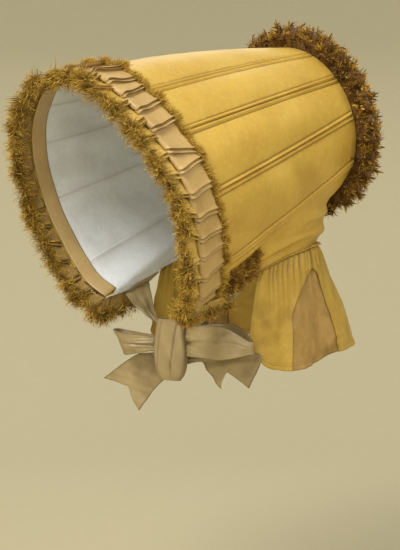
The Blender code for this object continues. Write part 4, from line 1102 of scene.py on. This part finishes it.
def make_crown_ruche(rng):
    """Four frayed brown ruffles round the rear edge, with spiky leaf-like tufts."""
    sheets, roots, ways, outs, longs, tones = [], [], [], [], [], []
    for order, (tilt, wide, waves) in enumerate(CROWN_ROWS):
        turns = np.linspace(0.0, 360.0, 520)
        reach = np.linspace(0.0, 1.0, 9)[:, None]
        angle = np.radians(tilt)
        phase = np.radians(turns) * waves + 1.4 * ripple_at(turns, 25.0, order * 5)
        wave = np.sin(phase)[None, :] * (0.0006 + 0.0042 * reach ** 1.2)
        wave = wave + np.sin(phase * 2.3 + order)[None, :] * 0.0011 * reach
        skew = np.cos(phase)[None, :] * 1.6 * reach
        ragged = 1.0 - 0.20 * np.abs(np.sin(phase * 0.5 + 0.7)) - 0.10 * np.abs(ripple_at(turns, 6.0, 9))
        long = CROWN_RUCHE_LONG * wide * reach * (1.0 - (1.0 - ragged[None, :]) * reach)
        out = long * math.cos(angle) - wave * math.sin(angle) - 0.0006
        behind = long * math.sin(angle) + wave * math.cos(angle) + 0.0016
        points = crown_place(turns[None, :] + skew, out, behind)
        sheets.append(points)
        count = CROWN_THREADS
        col = rng.integers(0, len(turns), count)
        row = rng.choice(len(reach) - 1, count, p=np.array([3, 4, 5, 6, 7, 10, 14, 15]) / 64.0) + 1
        root = points[row, col]
        way = unit(points[row, col] - points[row - 1, col])
        roots.append(root)
        ways.append(way)
        outs.append(crown_place(turns[col], 0.01, 0.01) - crown_place(turns[col], 0.0, 0.0))
        longs.append(rng.uniform(0.0035, 0.0085, count))
        # Painted shade and highlight: darker on the inner rows next to the body, lighter on the outer rows,
        # and light and dark with the ruffles' waves.
        tones.append(0.16 * np.sin(phase[col]) - 0.16 + 0.46 * (row / 8.0) ** 1.5)
    verts = np.concatenate([s.reshape(-1, 3) for s in sheets])
    faces, uvs, start = [], [], 0
    for points in sheets:
        faces.append(grid_faces(points.shape[0], points.shape[1], start))
        uvs.append(cloth_uv(points))
        start += points.shape[0] * points.shape[1]
    obj = mesh_object("crown_ruche_cloth", verts, np.concatenate(faces), [BROWN_SILK],
                      {"cloth": np.concatenate(uvs)})
    solid = obj.modifiers.new("thickness", "SOLIDIFY")
    solid.thickness = 0.0003
    solid.offset = 0.0
    roots, ways, outs = np.concatenate(roots), np.concatenate(ways), np.concatenate(outs)
    longs, tones = np.concatenate(longs), np.concatenate(tones)
    frizz("crown_ruche_tufts", roots, ways, outs, longs, BROWN, 0.25, rng,
          clump=0.0045, pull=0.9, wide=0.00056, tones=tones, steps=3)
    few = rng.integers(0, len(roots), CROWN_LEAVES)
    frizz("crown_ruche_leaves", roots[few], ways[few], outs[few], longs[few] * 1.25, BROWN, 0.30, rng,
          clump=0.0060, pull=0.9, wide=0.0021, tones=tones[few] + 0.04, steps=3)
    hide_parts("crown_ruche")
    return obj


def neck_trim_place(side, part, reach, lift):
    """Points of the neck trim: part of the way along it, share of its width up, and lift."""
    start = CORNER_TURN + NECK_TRIM_CLEAR[0]
    end = CURTAIN_START - NECK_TRIM_CLEAR[1]
    first, last = NECK_TRIM_TOP_SHARES

    def bridge(there):
        low = wall(start + (end - start) * there, 1.0)
        return low, wall(NECK_TRIM_TOP_TURN, first + (last - first) * there)

    low, high = bridge(part)
    along = unit(bridge(part + 0.02)[0] - bridge(part - 0.02)[0])
    points = low + (high - low) * reach[..., None]
    points = points + unit(np.cross(along, unit(high - low))) * lift[..., None]
    points[..., 0] *= side
    return points


def make_neck_trim(side, word, rng):
    """Short gathered strip above the neck edge, frayed along both sides."""
    part = np.linspace(0.0, 1.0, 140)[None, :]
    reach = np.linspace(0.03, 0.93, 16)[:, None]
    part2, reach2 = np.broadcast_arrays(part, reach)
    phase = part * 34.0 + 1.2 * ripple_at(part, 0.2, 4)
    fade = np.sin(np.pi * np.clip(reach * 0.9 + 0.08, 0, 1))
    lift = WALL / 2.0 + GAP + 0.0010 + (1.0 + np.sin(phase + reach * 3.0)) * 0.0014 * fade
    points = neck_trim_place(side, part2, reach2, np.broadcast_to(lift, part2.shape))
    obj = sheet_object("neck_trim_cloth_" + word, points, [NECK_SILK], None, 0.0003)
    count = NECK_THREADS
    col = rng.integers(0, 139, count)
    row = rng.choice(np.array([1, 3, 5, 7, 9, 11, 13, 15, 15, 15, 14, 14]), count)
    root = points[row, col]
    way = unit(points[row, col] - points[row - 1, col])
    flip = rng.uniform(0, 1, count) < 0.18
    way = np.where(flip[:, None], -way, way)
    out = unit(np.cross(points[8, 1:] - points[8, :-1], points[12, :-1] - points[4, :-1]))[col]
    out = out * np.sign(np.sum(out * np.array([side, 0.0, 0.0]), axis=-1, keepdims=True))
    long = rng.uniform(0.004, 0.0095, count)
    # Painted shade: the threads' tone rises and falls with the gathers' waves.
    tones = 0.30 + 0.22 * np.sin(phase[0][col])
    frizz("neck_trim_fringe_" + word, root, way, out, long, BROWN, 0.35, rng, down=-0.25,
          clump=0.0045, pull=0.7, tones=tones, wide=0.00052, keep=True, steps=3)
    few = rng.integers(0, count, NECK_LEAVES)
    frizz("neck_trim_leaves_" + word, root[few], way[few], out[few], long[few] * 1.1, BROWN, 0.3, rng,
          down=-0.2, clump=0.0060, pull=0.8, tones=tones[few], wide=0.0018, keep=True, steps=3)
    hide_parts("neck_trim_" + word)
    return obj


def curtain_place(around, down, lift):
    """Points of the curtain: around 0 at the left front, 1 at the back and 2 at the right front."""
    around, down, lift = np.broadcast_arrays(around, down, lift)
    side = np.where(around <= 1.0, 1.0, -1.0)
    near = np.where(around <= 1.0, around, 2.0 - around)
    turn = CURTAIN_START + (180.0 - CURTAIN_START) * near
    seam = 1.0 - CURTAIN_SEAM / line_long(turn)
    above = wall(side * turn, seam + np.minimum(down, 0.0) * HEADING_HIGH / line_long(turn), CURTAIN_LIFT)
    outward = wall_normal(side * turn, seam)
    hem = np.array([blend(HEM, key) for key in near.ravel()]).reshape(near.shape + (3,))
    low = hem * np.array((NECK_HALF, -BODY_LONG, -CURTAIN_DROP))
    low[..., 0] *= side
    drop = np.clip(down, 0.0, None)
    flare = (1.0 - (1.0 - np.clip(drop, 0, 1)) ** CURTAIN_FLARE)[..., None]
    move = (low - above) * np.concatenate([flare, flare, drop[..., None]], axis=-1)
    flat = np.stack([low[..., 0], low[..., 1] + BODY_LONG * CURTAIN_CENTRE, 0 * low[..., 0]], axis=-1)
    part = np.clip(drop / 0.10, 0.0, 1.0)[..., None]
    facing = unit(outward * (1.0 - part) + unit(flat) * part)
    return above + move + facing * lift[..., None]


def gather_fine(around):
    """Uneven tight gathers round the seam."""
    warp = math.pi * GATHERS * around * 1.5 + 2.4 * ripple_at(around, 0.10, 2)
    return np.sin(warp) + 0.4 * np.sin(warp * 1.9 + 1.0)


def curtain_lift(around, down):
    """Lift of the curtain: heading ruffle, tight gathers and soft wide waves below."""
    phase = math.pi * GATHERS * around
    fine = gather_fine(around)
    head = HEADING_WAVE * (1.0 + np.clip(fine, -1.0, 1.0)) * (0.4 - down)
    tight = 0.0020 * np.exp(-7.0 * np.clip(down, 0, 2)) * fine
    soft = SOFT_WAVE * np.minimum(np.clip(down, 0, 2) * 1.4, 1.0) * np.sin(phase * 0.23 + 0.7)
    return np.where(down <= 0.0, head + 0.0003, 0.0012 + tight + soft)


def inset_edge(down, spread, meet=INSET_MEET):
    """Share round of an inset's edge: both edges meet above the inset and open below."""
    table = SEAM_OPEN if spread == SEAM_LOW else INSET_OPEN
    part = np.where(down > table[0][0], np.interp(down, *np.array(table).T), 0.0)
    return meet + (spread - meet) * part


def curtain_cloth(name, solid, low_edge, high_edge, top, look, columns, proud):
    """One hemmed panel of the curtain, with its gathers, drag lines and small creases."""
    down = np.concatenate(
        [np.linspace(-1.0, -0.02, 6), np.linspace(0.0, 0.2, 16), np.linspace(0.215, 1.0, 48)])
    down = down[down >= top] if top < 0 else np.concatenate([[top], down[down > top + 0.002]])
    part = np.linspace(0.0, 1.0, columns)
    start, end = low_edge(down)[:, None], high_edge(down)[:, None]
    around = start + (end - start) * part[None, :]
    downs = np.broadcast_to(down[:, None], around.shape)
    plain = curtain_place(around, downs, np.zeros(around.shape))
    low = np.clip(downs, 0, 1)
    crease = ripple(plain * np.array([1, 1, 0.35]), 0.012, 6) * 0.0010 * low ** 0.4
    sharp = 1.0 - np.abs(ripple(plain + 0.3, 0.020, 28)) * 2.2
    crease = crease + np.clip(sharp, 0.0, 1.0) ** 2 * 0.0011 * low
    crease = crease + ripple(plain, 0.022, 13) * 0.0010 * low + ripple(plain, 0.006, 22) * 0.00022
    hem = np.clip((downs - 0.93) / 0.012, 0.0, 1.0) * 0.0004
    roll = (np.exp(-(1.0 - part) / 0.03) + np.exp(-part / 0.03))[None, :] * 0.0007
    lift = curtain_lift(around, downs) + 0.0007 + crease + hem + proud + roll * (downs > 0.05)
    points = curtain_place(around, downs, lift)
    # Painted shade: darker in the gather valleys near the seam, in a band just under the seam, in the
    # creases, along the hem fold and at both side edges.
    valley = np.clip(-gather_fine(around), 0.0, 1.6) * np.exp(-7.5 * np.clip(downs, 0, 1)) * 0.75
    valley = valley * np.where(downs < 0.0, 0.6, 1.0) + 0.35 * np.exp(-(downs / 0.02) ** 2)
    sag = np.clip(-crease / 0.0013, 0.0, 1.0) * 0.42 + np.exp(-((downs - 0.93) / 0.006) ** 2) * 0.25
    sides = (np.exp(-(1.0 - part) / 0.02) + np.exp(-part / 0.02))[None, :] * 0.30 * (downs > 0.05)
    tones = np.clip(1.0 - valley - sag - sides, 0.0, 1.0)
    run = np.linalg.norm(np.diff(points[-1], axis=0), axis=1).sum() * part
    height = (1.0 - downs) * HEM_DEEP
    edge = paired(run, height)
    obj = sheet_object(name, points, [look], {"edge": edge}, 0.0006, tones=tones)
    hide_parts(solid)
    return obj


def make_curtain():
    """The neck curtain: two gold side panels, two tan insets and the gold back."""
    made = []
    for side, word in ((1.0, "left"), (-1.0, "right")):
        def place(value, side=side):
            return value if side > 0.0 else 2.0 - value
        made.append(curtain_cloth(
            "curtain_side_cloth_" + word, "curtain_side_" + word,
            lambda d: place(0.0 * d), lambda d: place(inset_edge(d, SEAM_LOW, SEAM_HIGH) - PANEL_SLIT * 0.4),
            -1.0, GOLD_HEMMED_SHADED, 84, 0.0003))
        made.append(curtain_cloth(
            "curtain_inset_cloth_" + word, "curtain_inset_" + word,
            lambda d: place(inset_edge(d, SEAM_LOW, SEAM_HIGH) - TUCK),
            lambda d: place(inset_edge(d, INSET_SHARE, SEAM_HIGH) + TUCK),
            INSET_OPEN[0][0] + 0.012, TAN_HEMMED_SHADED, 44, -0.0012))
    made.append(curtain_cloth(
        "curtain_back_cloth", "curtain_back",
        lambda d: inset_edge(d, INSET_SHARE, SEAM_HIGH) + PANEL_SLIT * 0.4,
        lambda d: 2.0 - inset_edge(d, INSET_SHARE, SEAM_HIGH) - PANEL_SLIT * 0.4,
        -1.0, GOLD_HEMMED_SHADED, 150, 0.0003))
    return made


BOW_MIDDLE = np.array((0.0, -KNOT_BACK, -KNOT_DOWN))
BOW_ALONG = np.array((math.cos(math.radians(BOW_YAW)), math.sin(math.radians(BOW_YAW)), 0.0))
BOW_FACE = np.array((math.sin(math.radians(BOW_YAW)), -math.cos(math.radians(BOW_YAW)), 0.0))


def bow_place(out, up, ahead):
    """Points of the bow, in metres from the middle of the knot."""
    out, up, ahead = np.broadcast_arrays(out, up, ahead)
    return (BOW_MIDDLE + BOW_ALONG * out[..., None] + np.array((0.0, 0.0, 1.0)) * up[..., None]
            + BOW_FACE * ahead[..., None])


def spline_rows(table, count):
    """Rows of a table joined by a smooth curve."""
    table = np.array(table, float)
    steps = np.linalg.norm(np.diff(table, axis=0), axis=1)
    keys = np.concatenate([[0.0], np.cumsum(steps)])
    full = [(k, *row) for k, row in zip(keys, table)]
    return np.array([blend(full, key) for key in np.linspace(0.0, keys[-1], count)])


def ribbon_creases(out, up, seed):
    """Small creases of a satin ribbon that spread from the knot."""
    spot = np.stack(np.broadcast_arrays(out * 0.45, up, float(seed)), axis=-1)
    return ripple(spot, 0.007, 10 + seed % 9) * 0.0007 + ripple(spot, 0.0032, 22) * 0.00018


def make_loop(name, solid, table, side, seed):
    """Flat ribbon loop: front layer, turn and back layer, pinched at the knot."""
    front = [[v * RIBBON_WIDE for v in row] for row in table]
    for row in front:
        row[0] += KNOT_SIDE
        row[2] += KNOT_SIDE
    low_out, low_up, high_out, high_up, ahead = front[-1]
    out, back = LOOP_TURN[0] * RIBBON_WIDE, LOOP_TURN[1] * RIBBON_WIDE
    turned = [low_out + out, low_up, high_out + out, high_up, ahead - back]
    rest = [row[:4] + [-LOOP_BACK * RIBBON_WIDE - row[4] * LOOP_BACK_SHARE] for row in reversed(front)]
    rows = spline_rows(front + [turned] + rest, 100)
    part = np.linspace(0.0, 1.0, 30)[None, :]
    out = rows[:, 0:1] + (rows[:, 2:3] - rows[:, 0:1]) * part
    up = rows[:, 1:2] + (rows[:, 3:4] - rows[:, 1:2]) * part
    away = np.clip((out - KNOT_SIDE) / 0.03, 0.0, 1.0)
    layer = np.linspace(1.0, -1.0, len(rows))[:, None]
    pinch = ripple_at(part + 0.15 * away, 0.13, seed) * 0.0011 * (1.0 - away) ** 1.5
    groove = -np.exp(-((part - 0.45 - 0.10 * away) / 0.05) ** 2) * 0.0022 * (1.0 - away * 0.75)
    bent = rows[:, 4:5] + 0.03 * RIBBON_WIDE * np.sin(part * np.pi)
    bent = bent + (pinch + groove) * np.sign(layer) + ribbon_creases(out, up, seed) * (0.4 + away)
    points = bow_place(side * out, up, bent)
    edge = paired(np.linspace(0, 0.1, len(rows))[:, None], part)
    # Painted shade: darker in the pinches and the groove, and darker near the knot.
    tones = np.clip(1.0 + (pinch + groove) / 0.0018 * 0.45, 0.25, 1.0)
    tones = tones * (0.72 + 0.28 * np.clip(away * 3.0, 0, 1))
    obj = sheet_object(name, points, [SATIN], {"edge": edge}, 0.0005, tones=tones)
    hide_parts(solid)
    return obj


def make_tail(name, solid, table, notch, side, seed):
    """Ribbon tail from behind the knot, with a V cut at its end."""
    rows = spline_rows(table, 60)
    part = np.linspace(0.0, 1.0, 33)[None, :]
    out = rows[:, 0:1] + (rows[:, 2:3] - rows[:, 0:1]) * part
    up = rows[:, 1:2] + (rows[:, 3:4] - rows[:, 1:2]) * part
    last = np.array(table[-1])
    steps = np.linalg.norm(np.diff(np.array(table), axis=0), axis=1)
    keys = np.linspace(0.0, steps.sum(), len(rows))
    near = np.clip((keys - (steps.sum() - steps[-1])) / steps[-1], 0.0, 1.0)[:, None]
    pull = (1.0 - np.abs(part - 0.5) * 2.0) * near
    out = out + (notch[0] - (last[0] + last[2]) / 2.0) * pull
    up = up + (notch[1] - (last[1] + last[3]) / 2.0) * pull
    size = np.linspace(0.0, 1.0, len(rows))[:, None]
    wave = 0.02 * np.sin(part * np.pi * 2.0) * np.clip(size * 3.0, 0, 1)
    depth = (rows[:, 4:5] + wave) * RIBBON_WIDE - KNOT_DEEP / 2.0 - GAP - 0.0005
    depth = depth + ribbon_creases(out * RIBBON_WIDE, up * RIBBON_WIDE, seed) * (0.5 + size)
    depth = depth + np.sin(part * 16.0 + seed) * 0.0007 * (1.0 - size) ** 2
    points = bow_place(side * out * RIBBON_WIDE, up * RIBBON_WIDE, depth)
    edge = paired(size * 0.09, part)
    # Painted shade: darker in the creases and toward the knot.
    creases = ribbon_creases(out * RIBBON_WIDE, up * RIBBON_WIDE, seed)
    tones = np.clip(1.0 + np.minimum(creases, 0.0) / 0.0010 * 0.30 - 0.45 * (1.0 - size) ** 3, 0.2, 1.0)
    obj = sheet_object(name, points, [SATIN], {"edge": edge}, 0.0005, tones=tones)
    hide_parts(solid)
    return obj


def make_knot():
    """Flat folded ribbon wound round the middle of the bow."""
    levels = spline_rows(KNOT_LEVELS, 60)
    angle = np.linspace(0.0, 2.0 * np.pi, 145)[None, :]
    across, ahead = np.cos(angle), np.sin(angle)
    out = KNOT_WIDE / 2.0 * levels[:, 1:2] * np.sign(across) * np.abs(across) ** KNOT_SQUARE[0]
    depth = KNOT_DEEP / 2.0 * levels[:, 2:3] * np.sign(ahead) * np.abs(ahead) ** KNOT_SQUARE[1]
    up = levels[:, 0:1] * KNOT_TALL
    share = out / (KNOT_WIDE / 2.0)
    folds = -np.exp(-((share - 0.34 - up * 9.0) / 0.05) ** 2) * 0.0016
    folds = folds - np.exp(-((share + 0.62 - up * 6.0) / 0.05) ** 2) * 0.0009
    folds = folds + ripple_at(share * 0.6 + up * 14.0, 0.35, 8) * 0.0003
    depth = depth + folds * np.clip(ahead, 0.0, 1.0)
    points = bow_place(out, up, depth)
    cap_low = np.repeat(points[:1].mean(axis=1, keepdims=True), points.shape[1], axis=1)
    cap_high = np.repeat(points[-1:].mean(axis=1, keepdims=True), points.shape[1], axis=1)
    points = np.concatenate(
        [cap_low, (cap_low + points[:1]) / 2, points, (points[-1:] + cap_high) / 2, cap_high])
    edge = np.zeros((points.shape[0] * points.shape[1], 2)) + 0.5
    # Painted shade: darker in the folds and on the sides where the band turns round, and darkest on the end
    # caps.
    tones = np.clip(0.92 + folds / 0.0018 * 0.65, 0.15, 1.0) * np.clip(0.55 + 0.45 * np.abs(ahead), 0, 1)
    caps = tones[:1] * 0.5
    tones = np.concatenate([caps, caps, tones, caps, caps])
    obj = sheet_object("bow_knot_ribbon", points, [SATIN], {"edge": edge}, 0, tones=tones)
    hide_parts("bow_knot")
    return obj


def make_tie(side, middles, word, seed):
    """Ribbon from inside the neck edge down to the back of the knot."""
    inside = -WALL / 2.0 - LINING_GAP - LINING_WALL - TIE_CLEAR - 0.0005
    turns = side * np.array(TIE_TURNS)
    tops = wall(turns, TIE_TOP_SHARE, inside)
    edges = wall(turns, TIE_EDGE_SHARE, inside - TIE_EDGE_IN)
    behind = -KNOT_DEEP / 2.0 - GAP - 0.0005
    wide = RIBBON_WIDE
    ends = np.array([bow_place(side * out * wide, up * wide, behind) for out, up in TIE_END])
    mids = np.array([bow_place(side * out * wide, up * wide, ahead * wide) for out, up, ahead in middles])
    part = np.linspace(0.0, 1.0, 50)[:, None, None]
    first = edges + (mids - edges) * part
    second = mids + (ends - mids) * part
    rows = np.concatenate([tops + (edges - tops) * np.linspace(0, 0.95, 12)[:, None, None],
                           first + (second - first) * part])
    across = np.linspace(0.0, 1.0, 28)[None, :, None]
    points = rows[:, :1] + (rows[:, 1:] - rows[:, :1]) * across
    size = np.concatenate([np.zeros(12), part[:, 0, 0]])[:, None]
    facing = unit(np.cross(np.gradient(points, axis=0), np.gradient(points, axis=1)))
    folds = np.sin(across[..., 0] * 15.0 + seed) * 0.0006 * (0.25 + size)
    folds = folds + ribbon_creases(size * 0.08, across[..., 0] * 0.03, seed) * np.clip(size * 5, 0.1, 1)
    points = points + facing * folds[..., None]
    edge = paired(size * 0.07, across[..., 0])
    # Painted shade: darker in the folds and toward the end behind the knot.
    tones = np.clip(0.9 + folds / 0.0012 * 0.3, 0.3, 1.0) * (1.0 - 0.35 * size ** 3)
    obj = sheet_object("tie_ribbon_" + word, points, [SATIN], {"edge": edge}, 0.0005, tones=tones)
    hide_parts("tie_" + word)
    return obj


def make_floor():
    """Pale paper sweep: flat under the bonnet and curving up all round."""
    radii = np.concatenate([np.linspace(0.0, 1.0, 20), np.linspace(1.1, 4.6, 60)])
    turns = np.linspace(0, 2 * np.pi, 97)
    rise = np.where(radii > 1.0, (radii - 1.0) ** 2 * 0.25, 0.0)
    points = np.stack(np.broadcast_arrays(
        radii[:, None] * np.cos(turns), radii[:, None] * np.sin(turns), rise[:, None] - FLOOR_DOWN), axis=-1)
    mesh = bpy.data.meshes.new("paper_sweep")
    mesh.from_pydata(points.reshape(-1, 3).tolist(), [], grid_faces(*points.shape[:2]).tolist())
    mesh.polygons.foreach_set("use_smooth", [True] * len(mesh.polygons))
    obj = bpy.data.objects.new("paper_sweep", mesh)
    bpy.context.collection.objects.link(obj)
    mat = bpy.data.materials.new("pale_paper")
    mat.use_nodes = True
    tree = mat.node_tree
    shader = tree.nodes["Principled BSDF"]
    place = tree.nodes.new("ShaderNodeTexCoord").outputs["Object"]
    grain = noise(tree, place, 60.0)
    colour = mix_colour(tree, grain, (0.515, 0.465, 0.310), (0.545, 0.495, 0.335))
    tree.links.new(colour, shader.inputs["Base Color"])
    shader.inputs["Roughness"].default_value = 0.9
    shader.inputs["Specular IOR Level"].default_value = 0.1
    mesh.materials.append(mat)


def area_light(name, place, target, size, power, colour):
    """Soft light that looks at a point."""
    light = bpy.data.lights.new(name, "AREA")
    light.shape = "DISK"
    light.size = size
    light.energy = power
    light.color = colour
    obj = bpy.data.objects.new(name, light)
    obj.location = place
    obj.rotation_euler = (Vector(target) - Vector(place)).to_track_quat("-Z", "Y").to_euler()
    bpy.context.collection.objects.link(obj)
    return obj


def make_stage():
    """Floor, soft studio light and the camera at the photo's angle."""
    make_floor()
    for light in LIGHTS:
        area_light(*light)
    world = bpy.data.worlds.new("studio")
    bpy.context.scene.world = world
    world.use_nodes = True
    world.node_tree.nodes["Background"].inputs[0].default_value = (0.92, 0.90, 0.84, 1.0)
    world.node_tree.nodes["Background"].inputs[1].default_value = 0.66
    camera = bpy.data.cameras.new("camera")
    camera.sensor_width = 36.0
    camera.lens = CAMERA_LENS
    obj = bpy.data.objects.new("camera", camera)
    obj.location = CAMERA_PLACE
    obj.rotation_euler = (math.radians(CAMERA_TILT), 0.0, math.radians(CAMERA_TURN))
    bpy.context.collection.objects.link(obj)
    bpy.context.scene.camera = obj
    bpy.context.scene.view_settings.view_transform = "Standard"


def main():
    rng = np.random.default_rng(SEED)
    body, lining, binding, tip = make_body(), make_lining(), make_binding(), make_tip()
    ruche = make_ruche(rng)
    frill = make_frill(rng)
    crown = make_crown_ruche(rng)
    necks = [make_neck_trim(1.0, "left", rng), make_neck_trim(-1.0, "right", rng)]
    panels = make_curtain()
    loops = [make_loop("bow_loop_ribbon_left", "bow_loop_left", LOOP_LEFT, -1.0, 3),
             make_loop("bow_loop_ribbon_right", "bow_loop_right", LOOP_RIGHT, 1.0, 5)]
    tails = [make_tail("bow_tail_ribbon_left", "bow_tail_left", TAIL_LEFT, TAIL_LEFT_NOTCH, -1.0, 4),
             make_tail("bow_tail_ribbon_right", "bow_tail_right", TAIL_RIGHT, TAIL_RIGHT_NOTCH, 1.0, 7)]
    knot = make_knot()
    ties = [make_tie(1.0, TIE_LEFT_MID, "left", 2), make_tie(-1.0, TIE_RIGHT_MID, "right", 6)]
    make_stage()


main()
